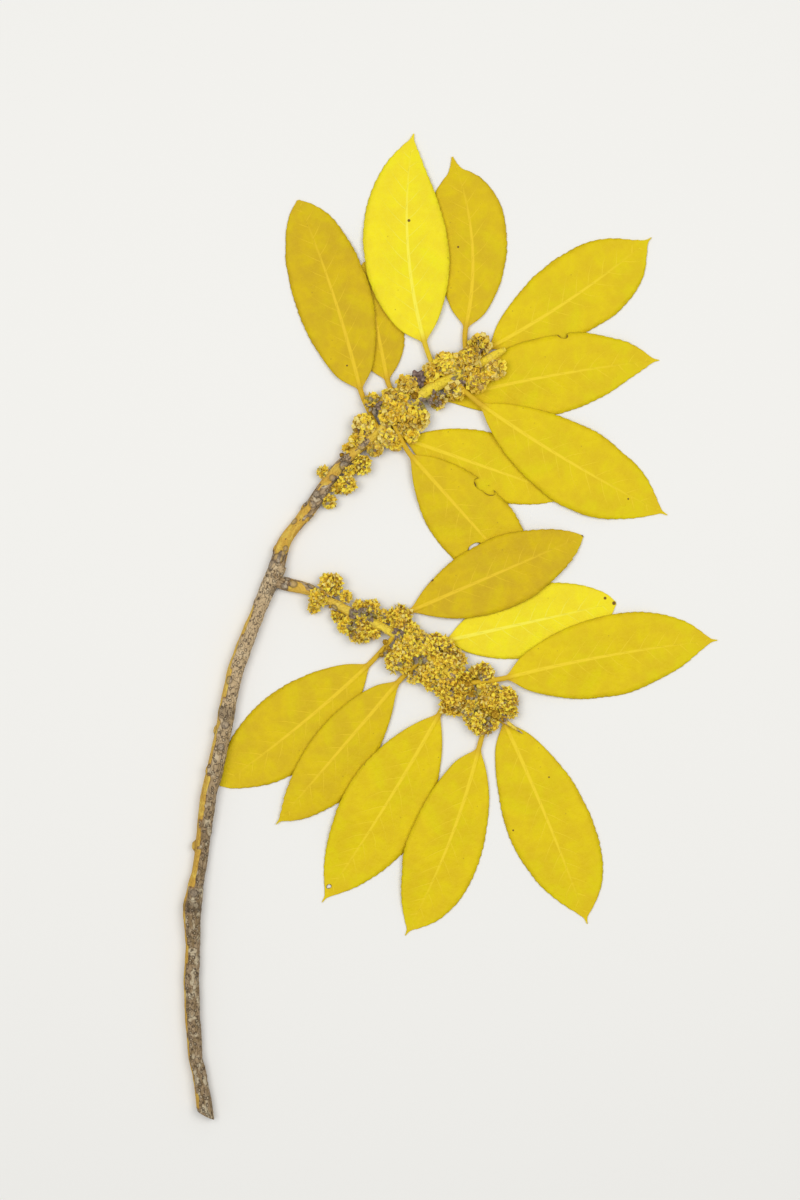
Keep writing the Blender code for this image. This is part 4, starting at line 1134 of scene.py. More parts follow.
def make_piece(name, points, faces, materials, nodes, sharp_deg=180, tints=None,
               uv_maps=None, vectors=None):
    """A finished piece from points in millimetres. It rides on the one body, stands for the
    CAD nodes and takes the given materials. Its shading breaks at edges sharper than the
    given angle."""
    mesh = bpy.data.meshes.new(name)
    mesh.from_pydata((points * MM).tolist(), [], faces.tolist())
    if tints is not None:
        mesh.polygons.foreach_set("material_index", np.asarray(tints, dtype=np.int32))
    corners = np.zeros(len(mesh.loops), dtype=np.int32)
    mesh.loops.foreach_get("vertex_index", corners)
    for map_name, values in (uv_maps or {}).items():
        layer = mesh.uv_layers.new(name=map_name)
        layer.data.foreach_set("uv", values.reshape(-1, 2)[corners].astype(np.float32).ravel())
    for vector_name, values in (vectors or {}).items():
        layer = mesh.attributes.new(vector_name, "FLOAT_VECTOR", "POINT")
        layer.data.foreach_set("vector", values.reshape(-1).astype(np.float32))
    mesh.shade_smooth()
    if sharp_deg < 180:
        mesh.set_sharp_from_angle(angle=math.radians(sharp_deg))
    for material in materials:
        mesh.materials.append(material)
    mesh.update()
    piece = new_object(name, mesh)
    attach(piece, "root")
    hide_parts(*nodes)
    return piece


# Places round a bite, the shares of its radii that three waves and five waves round it add,
# and the heights between which it is cut.
BITE_PLACES = 28
BITE_WAVES = (0.10, 0.06)
BITE_HEIGHTS = (-2.0, 12.0)


def eat(piece, bite):
    """Cuts a bite out of a leaf: a standing prism whose outline is an ellipse that wobbles by
    the sines of three and of five times the turn."""
    turn = np.linspace(0.0, 2 * math.pi, BITE_PLACES, endpoint=False)
    three, five = BITE_WAVES
    wobble = 1.0 + three * np.sin(3 * turn + bite.x) + five * np.sin(5 * turn + bite.y)
    angle = math.radians(bite.turn)
    long = bite.long * wobble * np.cos(turn)
    short = bite.short * wobble * np.sin(turn)
    x = bite.x + long * math.cos(angle) - short * math.sin(angle)
    y = bite.y + long * math.sin(angle) + short * math.cos(angle)
    ends = [np.column_stack([x, y, np.full_like(x, height)]) for height in BITE_HEIGHTS]
    points, faces, _ = skin(np.stack(ends)[None])
    mesh = bpy.data.meshes.new("cutter")
    mesh.from_pydata((points * MM).tolist(), [], faces.tolist())
    cutter = new_object("cutter", mesh)
    cut = piece.modifiers.new("bite", "BOOLEAN")
    cut.object = cutter
    cut.operation = "DIFFERENCE"
    bpy.context.view_layer.update()
    evaluated = piece.evaluated_get(bpy.context.evaluated_depsgraph_get())
    whole = piece.data
    piece.data = bpy.data.meshes.new_from_object(evaluated)
    piece.data.name = piece.name
    piece.modifiers.clear()
    bpy.data.meshes.remove(whole)
    bpy.data.objects.remove(cutter, do_unlink=True)


def make_leaves():
    """Each leaf with its stalk as one closed sheet, in place of its solid."""
    for seed, leaf in enumerate(LEAVES, 1):
        look = LEAF_LOOKS[leaf.name]
        rings, maps = leaf_surface(leaf, seed)
        points, faces, _ = skin(rings[None])
        piece = make_piece(f"{leaf.name}_dried", points, faces, [leaf_material(leaf, look)],
                           [leaf.name], uv_maps=maps)
        for bite in BITES.get(leaf.name, []):
            eat(piece, bite)


def make_limbs():
    """The stem and both shoots with the relief of their bark, in place of their solids."""
    grey = bark_material("weathered_holly_bark", "AA9272", "86704E", "CABB9C", "E2C69A",
                         "D0A444", "DCB450", (100.0, 175.0))
    skin_colours = ("BCA27C", "967C58", "D2C2A4", "D0B68C")
    upper, side = (
        bark_material(f"young_holly_bark_{shoot}", *skin_colours, inner, far_inner, change)
        for shoot, inner, far_inner, change in (
            ("upper", "DAAC44", "F4D83A", (40.0, 88.0)), ("side", "E4B84C", "FADC46", (4.0, 44.0)),
        )
    )
    for name, node, sides, material, slot in (
        ("stem", "main_stem", STEM_SIDES, grey, "bark"),
        ("upper", "upper_shoot", SHOOT_SIDES, upper, "shoot_bark"),
        ("side", "side_shoot", SHOOT_SIDES, side, "shoot_bark"),
    ):
        rings, place, marks = bark_surface(name, sides)
        points, faces, _ = skin(rings[None])
        make_piece(f"{node}_bark", points, faces, [material], [node],
                   vectors={"bark_place": place, "bark_marks": marks})


def tube_clearance(centre, radius, points):
    """Distance from points to the surface of a tube with a varying radius, negative inside."""
    start, end = centre[:-1][None], centre[1:][None]
    span = end - start
    share = ((points[:, None] - start) * span).sum(axis=2) / (span**2).sum(axis=2)
    share = np.clip(share, 0.0, 1.0)
    away = np.linalg.norm(points[:, None] - start - span * share[..., None], axis=2)
    local = radius[:-1] + (radius[1:] - radius[:-1]) * share
    return (away - local).min(axis=1)


STALKS = {leaf.name: stalk_path(leaf, 5) for leaf in LEAVES}
# How far flowers keep in plan from the edge of a leaf stalk that lies on top of them, how far
# below it they may stand, and the rows of its line and the spacing of a bare stretch's.
CLEAR_MARGIN = 0.7
CLEAR_DEPTH = 0.5
CLEAR_ROWS = 12
CLEAR_SPACING = 1.5


def clear_ways():
    """The lines that no flower stands over, each with its half width: the leaf stalks that lie
    on top of the tufts, and the bare stretches of the shoots."""
    ways = [(path, widths.max() + CLEAR_MARGIN)
            for path, widths in (stalk_path(LEAF_BY_NAME[name], CLEAR_ROWS)
                                  for name in STALKS_ON_TOP)]
    for shoot, stretches in BARE_STRETCHES.items():
        limb = make_limb(LIMB_WAYS[shoot], CLEAR_SPACING)
        for start, end, margin in stretches:
            inside = (limb.stations >= start) & (limb.stations <= end)
            ways.append((limb.centre[inside], limb.radius[inside].mean() + margin))
    return ways


CLEAR_WAYS = clear_ways()


def over_clear_way(points):
    """Whether points are nearer in plan to a clear way's line than its half width, and not
    below it by more than the clear depth."""
    over = np.zeros(len(points), dtype=bool)
    for path, half_width in CLEAR_WAYS:
        start, span = path[:-1], np.diff(path, axis=0)
        from_start = points[:, None] - start
        share = (from_start * span)[..., :2].sum(axis=2) / (span[:, :2]**2).sum(axis=1)
        away = from_start - span * np.clip(share, 0.0, 1.0)[..., None]
        near = np.linalg.norm(away[..., :2], axis=2) < half_width
        over |= (near & (away[..., 2] > -CLEAR_DEPTH)).any(axis=1)
    return over


def leaves_near(place, reach):
    """The leaves whose stalk or blade comes within reach of a place."""
    near = []
    for leaf in LEAVES:
        to_stalk = tube_clearance(*STALKS[leaf.name], place[None])[0]
        to_blade = distance_outside(OUTLINES[leaf.name], place[None, :2])[0]
        if min(to_stalk, to_blade) < reach:
            near.append(leaf)
    return near


def blocked(points, leaves):
    """Whether points lie in a limb, a leaf stalk or a blade, or closer to it than the gap."""
    hit = np.zeros(len(points), dtype=bool)
    for limb in LIMBS.values():
        hit |= tube_clearance(limb.centre, limb.radius, points) < GAP
    for leaf in leaves:
        hit |= tube_clearance(*STALKS[leaf.name], points) < GAP
        near = (distance_outside(OUTLINES[leaf.name], points[:, :2]) < GAP) & ~hit
        if near.any():
            height = blade_underside(leaf, points[near, :2])
            level = points[near, 2]
            hit[near] = (level > height - GAP) & (level < height + BLADE_ROOM + GAP)
    return hit


# A tuft in its place: its name, its middle, radius and half height, and the leaves near it.
Place = namedtuple("Place", "name shoot look seed middle radius half_height leaves")
# Flowers nearer to the upper shoot's foot than this are as narrow as the side shoot's.
BROAD_FROM = 57.0
# Leaves this far outside a tuft still count as near it.
NEAR_REACH = 2.0


def place_tuft(name, tuft, shoot, seed):
    """Beside its shoot a tuft lies on the surface or level with the shoot, and a tuft over the
    shoot sits on top of it. It is raised clear of any blade or stalk."""
    centre, _, leftward, radius = limb_frame(LIMBS[shoot], tuft.station)
    middle = centre + leftward * tuft.offset
    leaves = leaves_near(middle, tuft.radius + NEAR_REACH)
    if abs(tuft.offset) > radius + GAP:
        half_height = min(tuft.radius, TUFT_HALF_HEIGHT)
        middle[2] = max(half_height, centre[2])
    else:
        half_height = min(tuft.radius, CROWN_HALF_HEIGHT)
        middle[2] = centre[2] + radius + 2 * GAP
    while blocked(middle[None], leaves).any():
        middle[2] += RAY_STEP
    look = "broad" if shoot == "upper" and tuft.station > BROAD_FROM else "narrow"
    return Place(name, shoot, look, seed, middle, tuft.radius, half_height, leaves)


def place_tufts():
    """Every tuft of both shoots, the strays between them and the dried bud."""
    rows = []
    for shoot, own in TUFTS.items():
        rows += [(f"flowers_{shoot}_{i:02d}", tuft, shoot) for i, tuft in enumerate(own, 1)]
        rows += [("stray", tuft, shoot) for tuft in STRAYS[shoot]]
    rows.append(("old_bud", OLD_BUD, "upper"))
    return [place_tuft(*row, seed) for seed, row in enumerate(rows)]


def even_directions(count, seed):
    """Unit vectors spread evenly over a ball by the golden angle, turned by the seed."""
    index = np.arange(count)
    height = 1.0 - (2 * index + 1) / count
    turn = index * math.pi * (3 - math.sqrt(5)) + seed
    flat = np.sqrt(1.0 - height**2)
    return np.column_stack([flat * np.cos(turn), flat * np.sin(turn), height])


def tuft_reach(place, rays):
    """How far a tuft reaches along each ray: to its flattened ball, and short of the surface
    below and of any limb, stalk or blade."""
    middle, radius = place.middle, place.radius
    reach = 1.0 / np.sqrt((rays[:, 0]**2 + rays[:, 1]**2) / radius**2
                          + rays[:, 2]**2 / place.half_height**2)
    reach = np.minimum(reach, middle[2] / np.maximum(-rays[:, 2], TINY))
    steps = np.arange(0.0, radius + RAY_STEP, RAY_STEP)
    marks = middle + rays[:, None, :] * steps[None, :, None]
    hits = blocked(marks.reshape(-1, 3), place.leaves).reshape(len(rays), len(steps))
    first = np.where(hits.any(axis=1), hits.argmax(axis=1), len(steps))
    stop = np.where(first < len(steps), np.maximum(first - 1, 0.5) * RAY_STEP, np.inf)
    return np.minimum(reach, stop)


def tufts_of(shoot, places):
    """A shoot's tufts and strays, and the names of the solids that they stand for."""
    mine = [place for place in places if place.shoot == shoot and place.name != "old_bud"]
    return mine, [place.name for place in mine if place.name != "stray"]


def buried(place, places, points, depth):
    """Whether points lie deeper than a depth in the flattened ball of another tuft."""
    hidden = np.zeros(len(points), dtype=bool)
    for other in places:
        size = np.array([other.radius, other.radius, other.half_height])
        share = np.linalg.norm((points - other.middle) / size, axis=1)
        hidden |= (share < 1.0 - depth / other.radius) & (other is not place)
    return hidden


# How much of the reach the inner layer of a tuft's flowers stands at, and the least share of it
# that a flower keeps.
INNER_LAYER = 0.66
LEAST_DEPTH = 0.25
# How far a flower's depth in its tuft spreads about its inset.
FLOWER_SPREAD = 0.5
# A tuft's lumps, in shares of its reach: their middle and how much noise adds or takes. Then
# the noise's size and its seed.
LUMP_MIDDLE, LUMP_SWING, TUFT_LUMP_SIZE, TUFT_LUMP_SEED = 0.91, 0.18, 3.0, 31
# A flower stands only on a ray along which its tuft reaches this far, and which points down by
# no more than this.
LEAST_REACH = 1.0
LOWEST_RAY = -0.75
# A flower that lies deeper than its inset by this much in another tuft is left out.
LOST_DEPTH = 0.5
# How far a flower's axis strays from its ray, and how far it leans up from there.
AXIS_STRAY = 0.25
AXIS_LEAN = 0.45
# The press left no flower standing higher than this.
PRESS_HEIGHT = 7.0
# In a patch of dry scales, no flower stands in this share of its radius.
PATCH_CLEARING = 0.75
# A tuft's packed middle ends this far under the press, or just above the tuft's own middle.
HEART_INSET = 1.6
HEART_LEAST = 0.3
# How much of a tuft's reach its packed middle fills.
HEART_SHARE = 0.66
# Dry scales between the flowers for each millimetre of a tuft's radius.
SCALES_PER_MM = {"broad": 2.4, "narrow": 2.0}
# The tints of the joined flower pieces, in the order of their materials. The last is the
# feet's darker tint, which is partly their own brown and partly painted shade.
PETAL_TINTS = 5
SHADED_FOOT_TINT = PETAL_TINTS


def plan_place(shoot, tuft):
    """The middle in plan of a tuft or a patch beside its shoot."""
    centre, _, leftward, _ = limb_frame(LIMBS[shoot], tuft.station)
    return (centre + leftward * tuft.offset)[:2]


# The middle and the radius of each clearing in the flowers: the scale patches and the old bud.
CLEARINGS = [(plan_place(shoot, patch), PATCH_CLEARING * patch.radius)
             for shoot, patches in SCALE_PATCHES.items() for patch in patches]
CLEARINGS.append((plan_place("upper", OLD_BUD), PATCH_CLEARING * OLD_BUD.radius))


def in_clearing(points):
    """Whether points lie in a clearing in plan, in the upper half of the flowers."""
    inside = np.zeros(len(points), dtype=bool)
    for middle, radius in CLEARINGS:
        inside |= np.linalg.norm(points[:, :2] - middle, axis=1) < radius
    return inside & (points[:, 2] > 0.5 * PRESS_HEIGHT)


def level_directions(turn):
    """Level unit vectors at some turns."""
    return np.column_stack([np.cos(turn), np.sin(turn), np.zeros(len(turn))])


def side_frames(axes, roll):
    """Two unit vectors square to each axis and to each other, turned about it by the roll."""
    helper = np.where(np.abs(axes[:, 2:]) < 0.9, [[0.0, 0.0, 1.0]], [[1.0, 0.0, 0.0]])
    first = unit(np.cross(axes, helper))
    second = np.cross(axes, first)
    cos, sin = np.cos(roll)[:, None], np.sin(roll)[:, None]
    return first * cos + second * sin, second * cos - first * sin


# A petal: half its thickness, how far out from the axis it starts and the lengths of its two
# straight parts, in its lengths, and its foot's half width and how high its edges stand, in
# its half widths.
PETAL_HALF_THICK = 0.09
PETAL_START = 0.12
PETAL_PARTS = (0.42, 0.58)
PETAL_FOOT = 0.45
PETAL_CUP = 0.33


def petal_rings(centre, axis, outward, length, half_width, opening, recurve, tip):
    """Petals as closed bodies of three cross sections of four places: left edge, upper
    middle, right edge and lower middle. A petal leaves the axis by its opening angle, and
    turns further out by its recurve before the middle. Its edges stand up from its middle."""
    right = np.cross(outward, axis)

    def direction(angle):
        return np.sin(angle)[:, None] * outward + np.cos(angle)[:, None] * axis

    def facing(angle):
        return np.sin(angle)[:, None] * axis - np.cos(angle)[:, None] * outward

    base = centre + outward * (PETAL_START * length)[:, None]
    knee = base + direction(opening) * (PETAL_PARTS[0] * length)[:, None]
    end = knee + direction(opening + recurve) * (PETAL_PARTS[1] * length)[:, None]
    sections = []
    for point, width, angle in (
        (base, PETAL_FOOT * half_width, opening),
        (knee, half_width, opening + 0.5 * recurve),
        (end, tip * half_width, opening + recurve),
    ):
        up = facing(angle)
        edge = right * width[:, None]
        raised = up * (PETAL_CUP * width)[:, None]
        thick = up * PETAL_HALF_THICK
        ring = [point - edge + raised, point + thick, point + edge + raised, point - thick]
        sections.append(np.stack(ring, axis=1))
    return np.stack(sections, axis=1)


def spindle_rings(start, end, radii, sides, shares=None):
    """Closed bodies along straight lines, with a radius at each of some shares of the line."""
    radii = np.atleast_2d(np.asarray(radii, dtype=float))
    shares = np.linspace(0.0, 1.0, radii.shape[1]) if shares is None else np.asarray(shares)
    span = end - start
    axis = unit(span)
    first, second = side_frames(axis, np.zeros(len(axis)))
    turn = 2 * math.pi * np.arange(sides) / sides
    cos, sin = (part[None, :, None] for part in (np.cos(turn), np.sin(turn)))
    circle = cos * first[:, None] + sin * second[:, None]
    centre = start[:, None] + span[:, None] * shares[None, :, None]
    return centre[:, :, None] + circle[:, None] * radii[:, :, None, None]


# The share of petals that take a tint of their own, and which of a petal's ten faces belong
# to its foot. The foot is painted darker: partly its own dried brown, partly painted shade in
# the middle of the flower.
PETAL_CHANGE = 0.22
SHADED_FOOT_FACES = np.array([True] * 4 + [False] * 4 + [True, False])


class Parts:
    """Closed bodies gathered into one mesh, each with its tint."""

    def __init__(self):
        self.points, self.faces, self.tints, self.count = [], [], [], 0

    def add(self, rings, tint):
        """Adds bodies with one tint, a tint each, or a tint for each face of each body."""
        points, faces, each = skin(settle(rings))
        self.points.append(points)
        self.faces.append(faces + self.count)
        tint = np.asarray(tint).reshape(-1, 1) if np.ndim(tint) < 2 else tint
        self.tints.append(np.broadcast_to(tint, (len(rings), each)).ravel())
        self.count += len(points)

    def make(self, name, materials, slot, nodes, sharp_deg):
        """The piece of all the bodies so far."""
        points, faces, tints = map(np.concatenate, (self.points, self.faces, self.tints))
        make_piece(name, points, faces, materials, nodes, sharp_deg=sharp_deg, tints=tints)


# How a shoot's flowers look: how many stand over a tuft for each millimetre of its radius, how
# far inside its reach they stand, and how much further where they face sideways, the petals'
# length from and to, their half width and their tip in shares of the length and the half
# width, the share of round buds, and the share of each tint from yellow, gold, ochre and pale
# to brown.
FlowerLook = namedtuple("FlowerLook", "density inset level_inset petal half_width tip buds tints")
FLOWER_LOOKS = {
    "broad": FlowerLook(10.6, 1.6, 0.8, (1.9, 2.9), 0.48, 0.62, 0.06,
                        [0.30, 0.24, 0.14, 0.26, 0.06]),
    "narrow": FlowerLook(12.2, 1.2, 0.3, (1.6, 2.4), 0.38, 0.20, 0.03,
                         [0.44, 0.24, 0.10, 0.18, 0.04]),
}
# The main colour and the darker tone of the petals' feet and of the tufts' packed middles.
# Both are partly painted shade: the feet for the middle of each flower, and the packed
# middles for the deep gaps between the flowers.
FOOT_BROWN_AND_SHADE_COLOURS = {"upper": ("BE9628", "8A6614"), "side": ("DCB036", "AC8220")}
HEART_AND_GAP_SHADE_COLOURS = {"upper": ("B08620", "785610"), "side": ("CCA430", "967018")}


def flower_sites(place, places):
    """Where a tuft's flowers stand: two layers of rays, the inner one turned from the outer,
    on a ball made lumpy by noise and flattened by the press. Gives for each flower its centre,
    its axis, which leans up from the ray, and whether it is in the outer layer."""
    rng = np.random.default_rng(place.seed)
    look = FLOWER_LOOKS[place.look]
    centres, axes, outer = [], [], []
    for layer, share in ((0, 1.0), (1, INNER_LAYER)):
        count = round(look.density * place.radius * share)
        rays = even_directions(count, place.seed + 0.5 * layer)
        reach = tuft_reach(place, rays)
        ball = place.middle + rays * reach[:, None]
        bumps = noise(ball, TUFT_LUMP_SIZE, TUFT_LUMP_SEED, octaves=2)
        spread = FLOWER_SPREAD * rng.uniform(-1.0, 1.0, len(rays))
        inset = look.inset + look.level_inset * (1.0 - np.abs(rays[:, 2]))
        lumps = LUMP_MIDDLE + LUMP_SWING * bumps
        depth = np.maximum(reach * share * lumps - inset + spread, LEAST_DEPTH * reach)
        centre = place.middle + rays * depth[:, None]
        top = PRESS_HEIGHT - rng.random(len(rays))
        centre[:, 2] = np.minimum(centre[:, 2], top)
        keep = (reach > LEAST_REACH) & (rays[:, 2] > LOWEST_RAY)
        keep &= ~buried(place, places, centre, look.inset + LOST_DEPTH)
        keep &= ~over_clear_way(centre) & ~in_clearing(centre)
        stray = rng.normal(0.0, AXIS_STRAY, rays.shape)
        axis = unit(rays + stray + [0.0, 0.0, AXIS_LEAN])
        centres.append(centre[keep])
        axes.append(axis[keep])
        outer.append(np.full(keep.sum(), layer == 0))
    return np.concatenate(centres), np.concatenate(axes), np.concatenate(outer)


# How wide petals open in radians, where a flower faces sideways, how much wider where it faces
# up, and how far that differs from flower to flower. Then how far a petal's own opening and
# its turn differ, and the most that its outer part curves back.
OPENING = 0.5
OPENING_UP = 0.6
OPENING_SPREAD = 0.2
PETAL_STRAY = 0.18
TURN_STRAY = 0.15
MOST_RECURVE = 0.6
# Small closed bodies as radii from one end to the other: an anther, an ovary, a flower stalk,
# and a round bud, whose radii are in petal lengths and stand at some shares of its length.
ANTHER_RADII = [0.07, 0.16]
OVARY_RADII = [0.25, 0.36, 0.1]
STALK_RADII = [0.16, 0.2]
BUD_RADII = [[0.10, 0.30, 0.38, 0.32, 0.08]]
BUD_SHARES = [0.0, 0.2, 0.5, 0.8, 1.0]
# A round bud's length, in petal lengths, and how far below its flower's place it starts.
BUD_LENGTH = 0.95
BUD_DEPTH = 0.5
# An anther: how far out from the middle its foot and how much further its head stands, and its
# length in petal lengths. Then where an ovary starts and ends along the flower's axis.
ANTHER_FOOT, ANTHER_LEAN, ANTHER_LENGTH = 0.4, 0.3, 0.4
OVARY_START, OVARY_END = -0.25, 0.7
# The share of the way from its tuft's middle where a flower's stalk starts, and how far below
# the flower's place it ends.
STALK_START, STALK_END = 0.25, 0.2


def add_flowers(place, places, rng, petals, centres, buds, stalks):
    """The flowers of one tuft. An open flower has four petals, and in the outer layer four
    anthers between them and an ovary. Each flower has a stalk from the tuft's middle."""
    look = FLOWER_LOOKS[place.look]
    centre, axis, outer = flower_sites(place, places)
    count = len(centre)
    full = rng.random(count) >= look.buds
    tone = rng.choice(PETAL_TINTS, size=count, p=look.tints)
    size = rng.uniform(*look.petal, count)
    facing_up = smooth_step(0.1, 0.8, axis[:, 2])
    opening = OPENING + OPENING_UP * facing_up
    opening = opening + rng.uniform(-OPENING_SPREAD, OPENING_SPREAD, count)
    first, second = side_frames(axis, rng.uniform(0, 2 * math.pi, count))
    showing = full & outer
    for quarter in range(4):
        angle = 0.5 * math.pi * quarter + rng.normal(0.0, TURN_STRAY, count)
        outward = first * np.cos(angle)[:, None] + second * np.sin(angle)[:, None]
        own_opening = opening + rng.normal(0.0, PETAL_STRAY, count)
        recurve = rng.uniform(0.0, MOST_RECURVE, count)
        rings = petal_rings(centre[full], axis[full], outward[full], size[full],
                            (look.half_width * size)[full], own_opening[full], recurve[full],
                            look.tip)
        other = rng.choice(PETAL_TINTS, size=count, p=look.tints)
        blade = np.where(rng.random(count) < PETAL_CHANGE, other, tone)[full]
        # The feet take the dark foot tint: their own brown with painted shade of the flower's
        # middle.
        petals.add(rings, np.where(SHADED_FOOT_FACES, SHADED_FOOT_TINT, blade[:, None]))
        between = outward * 0.5 + np.cross(axis, outward) * 0.5
        foot = centre + between * ANTHER_FOOT
        head = foot + axis * (ANTHER_LENGTH * size)[:, None] + between * ANTHER_LEAN
        centres.add(spindle_rings(foot[showing], head[showing], ANTHER_RADII, 4), 1)
    start, end = centre + axis * OVARY_START, centre + axis * OVARY_END
    centres.add(spindle_rings(start[showing], end[showing], OVARY_RADII, 4), 0)
    low = centre[~full] - axis[~full] * BUD_DEPTH
    high = low + axis[~full] * (BUD_LENGTH * size[~full])[:, None]
    shape = size[~full][:, None] * BUD_RADII
    buds.add(spindle_rings(low, high, shape, 8, shares=BUD_SHARES), tone[~full])
    root = place.middle + (centre - place.middle) * STALK_START
    stalks.add(spindle_rings(root, centre - axis * STALK_END, STALK_RADII, 4), 0)


# Dried petals are papery and dull. The last to open are still yellow, and older ones gold,
# ochre, pale and brown. Each has its colour, its shade and its roughness.
PETAL_SKINS = {
    "yellow": ("FFEE56", "FADC40", 0.6),
    "gold": ("FCDE4A", "F0C63A", 0.6),
    "ochre": ("EACA50", "D2AA3A", 0.65),
    "pale": ("F6E286", "E6CE68", 0.6),
    "brown": ("C8A65C", "A48446", 0.7),
}
# Dry bud scales are thin and papery, weathered to grey, purplish and olive browns.
SCALE_SKINS = {
    "grey": ("AE9E82", "8A7C64"),
    "purple": ("A08A78", "7A6656"),
    "olive": ("B8A858", "948642"),
}


def make_flowers(shoot, places):
    """The open flowers, the round buds and the flower stalks of one shoot. Petals have brown
    feet, darkened further as painted shade in the middle of each flower, and stand wide open
    where a flower faces up and half open where it faces sideways."""
    rng = np.random.default_rng({"upper": 5, "side": 8}[shoot])
    petals, centres, buds, stalks = (Parts() for _ in range(4))
    mine, nodes = tufts_of(shoot, places)
    for place in mine:
        add_flowers(place, places, rng, petals, centres, buds, stalks)
    petal_skins = [
        tissue_material(f"dried_petal_{tone}_{shoot}", main, shade, 0.9, roughness, 0.15)
        for tone, (main, shade, roughness) in PETAL_SKINS.items()
    ]
    # Dried ovary: hard and olive, with a faint shine.
    ovary_skin = tissue_material(f"dried_ovary_{shoot}", "A89A3C", "867A34", 0.6, 0.5, 0.4)
    # Dried anther: dusty with pollen, so quite matt.
    pollen = tissue_material(f"dusty_anther_{shoot}", "E0A82C", "B07E24", 0.5, 0.9, 0.1)
    # Dried flower stalk: thin, wiry and brown.
    wiry = tissue_material(f"dried_flower_stalk_{shoot}", "A88C40", "7E662E", 0.8, 0.7)
    # A petal's foot: dried through to a translucent brown, and darker still as painted shade in
    # the middle of the flower.
    browned_and_shaded = tissue_material(f"dried_petal_foot_{shoot}", *FOOT_BROWN_AND_SHADE_COLOURS[shoot], 0.6, 0.7, 0.15)
    petals.make(f"petals_{shoot}", petal_skins + [browned_and_shaded], "flowers", nodes, 50)
    centres.make(f"flower_centres_{shoot}", [ovary_skin, pollen], "flowers", nodes, 70)
    buds.make(f"round_buds_{shoot}", petal_skins, "flowers", nodes, 70)
    stalks.make(f"flower_stalks_{shoot}", [wiry], "flowers", nodes, 70)


# Dry scales that stand loose and in a patch: their length from and to, their half width in
# lengths, how far their axes stray, how far they curve back from and to, how far under the
# press they stand, and the share of each tint. Then the tip of all, in half widths.
ScaleLook = namedtuple("ScaleLook", "length half_width stray recurve inset tints")
LOOSE_SCALE = ScaleLook((1.1, 1.9), 0.42, 0.35, (-0.4, 0.4), 0.8, [0.4, 0.2, 0.4])
PATCH_SCALE = ScaleLook((1.6, 2.5), 0.40, 0.2, (-0.3, 0.5), 1.2, [0.45, 0.30, 0.25])
SCALE_TIP = 0.3
# Loose scales: how far they stand to the side on a ball of radius one, in which shares of their
# tuft's reach, how far the tuft has to reach there, how deep in another tuft they are left out,
# and how wide they open.
LOOSE_SIDEWAYS, LOOSE_SHARES, LOOSE_REACH, LOOSE_BURIED = 0.8, (0.6, 0.85), 1.2, 1.1
LOOSE_OPENING = (0.5, 1.4)
# A patch: its scales for each millimetre of its radius, the turn from one to the next and how
# far that strays. Then how much of its radius they fill, how much lower the outermost stand,
# how wide the middle one opens, and how much wider the outermost do.
PATCH_SCALES, PATCH_TURN, PATCH_STRAY = 5, 2.4, 0.2
PATCH_FILL, PATCH_FALL, PATCH_OPENING, PATCH_OPENING_OUT = 0.6, 0.8, 0.5, 0.9
# Rows and places round a tuft's packed middle, how near its rows come to its two poles in
# radians, and the height, the size and the seed of the bumps on it.
HEART_ROWS, HEART_PLACES = 9, 16
POLE_GAP = 0.12
HEART_BUMP, HEART_BUMP_SIZE, HEART_BUMP_SEED = 0.2, 0.9, 71


def add_loose_scales(place, places, rng, scales):
    """The dry scales here and there between a tuft's flowers."""
    count = round(SCALES_PER_MM[place.look] * place.radius)
    spread = rng.uniform(0.0, LOOSE_SIDEWAYS, count)
    turn = rng.uniform(0.0, 2 * math.pi, count)
    steep = np.sqrt(1.0 - spread**2)
    rays = np.column_stack([spread * np.cos(turn), spread * np.sin(turn), steep])
    reach = tuft_reach(place, rays)
    look = LOOSE_SCALE
    centre = place.middle + rays * (reach * rng.uniform(*LOOSE_SHARES, count))[:, None]
    centre[:, 2] = np.minimum(centre[:, 2], PRESS_HEIGHT - look.inset)
    keep = (reach > LOOSE_REACH) & ~buried(place, places, centre, LOOSE_BURIED)
    keep &= ~over_clear_way(centre)
    centre = centre[keep]
    axis = unit(rays[keep] + rng.normal(0.0, look.stray, centre.shape))
    outward, _ = side_frames(axis, rng.uniform(0, 2 * math.pi, len(axis)))
    length = rng.uniform(*look.length, len(axis))
    opening = rng.uniform(*LOOSE_OPENING, len(axis))
    recurve = rng.uniform(*look.recurve, len(axis))
    rings = petal_rings(centre, axis, outward, length, look.half_width * length, opening,
                        recurve, SCALE_TIP)
    scales.add(rings, rng.choice(3, size=len(axis), p=look.tints))


def packed_middle(place):
    """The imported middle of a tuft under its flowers: a bumpy ball that fills a share of its
    reach and is flat on top, as closed cross sections."""
    turn = 2 * math.pi * np.arange(HEART_PLACES) / HEART_PLACES
    tilt = np.linspace(-0.5 * math.pi + POLE_GAP, 0.5 * math.pi - POLE_GAP, HEART_ROWS)
    flat = np.cos(tilt)[:, None]
    grid = np.stack([flat * np.cos(turn), flat * np.sin(turn),
                     np.repeat(np.sin(tilt)[:, None], HEART_PLACES, axis=1)], axis=-1)
    reach = tuft_reach(place, grid.reshape(-1, 3)).reshape(grid.shape[:2])
    bumps = 1.0 + HEART_BUMP * noise(grid * 3.0 + place.middle, HEART_BUMP_SIZE, HEART_BUMP_SEED)
    heart = place.middle + grid * (HEART_SHARE * reach * bumps)[..., None]
    top = max(PRESS_HEIGHT - HEART_INSET, place.middle[2] + HEART_LEAST)
    heart[..., 2] = np.minimum(heart[..., 2], top)
    return heart


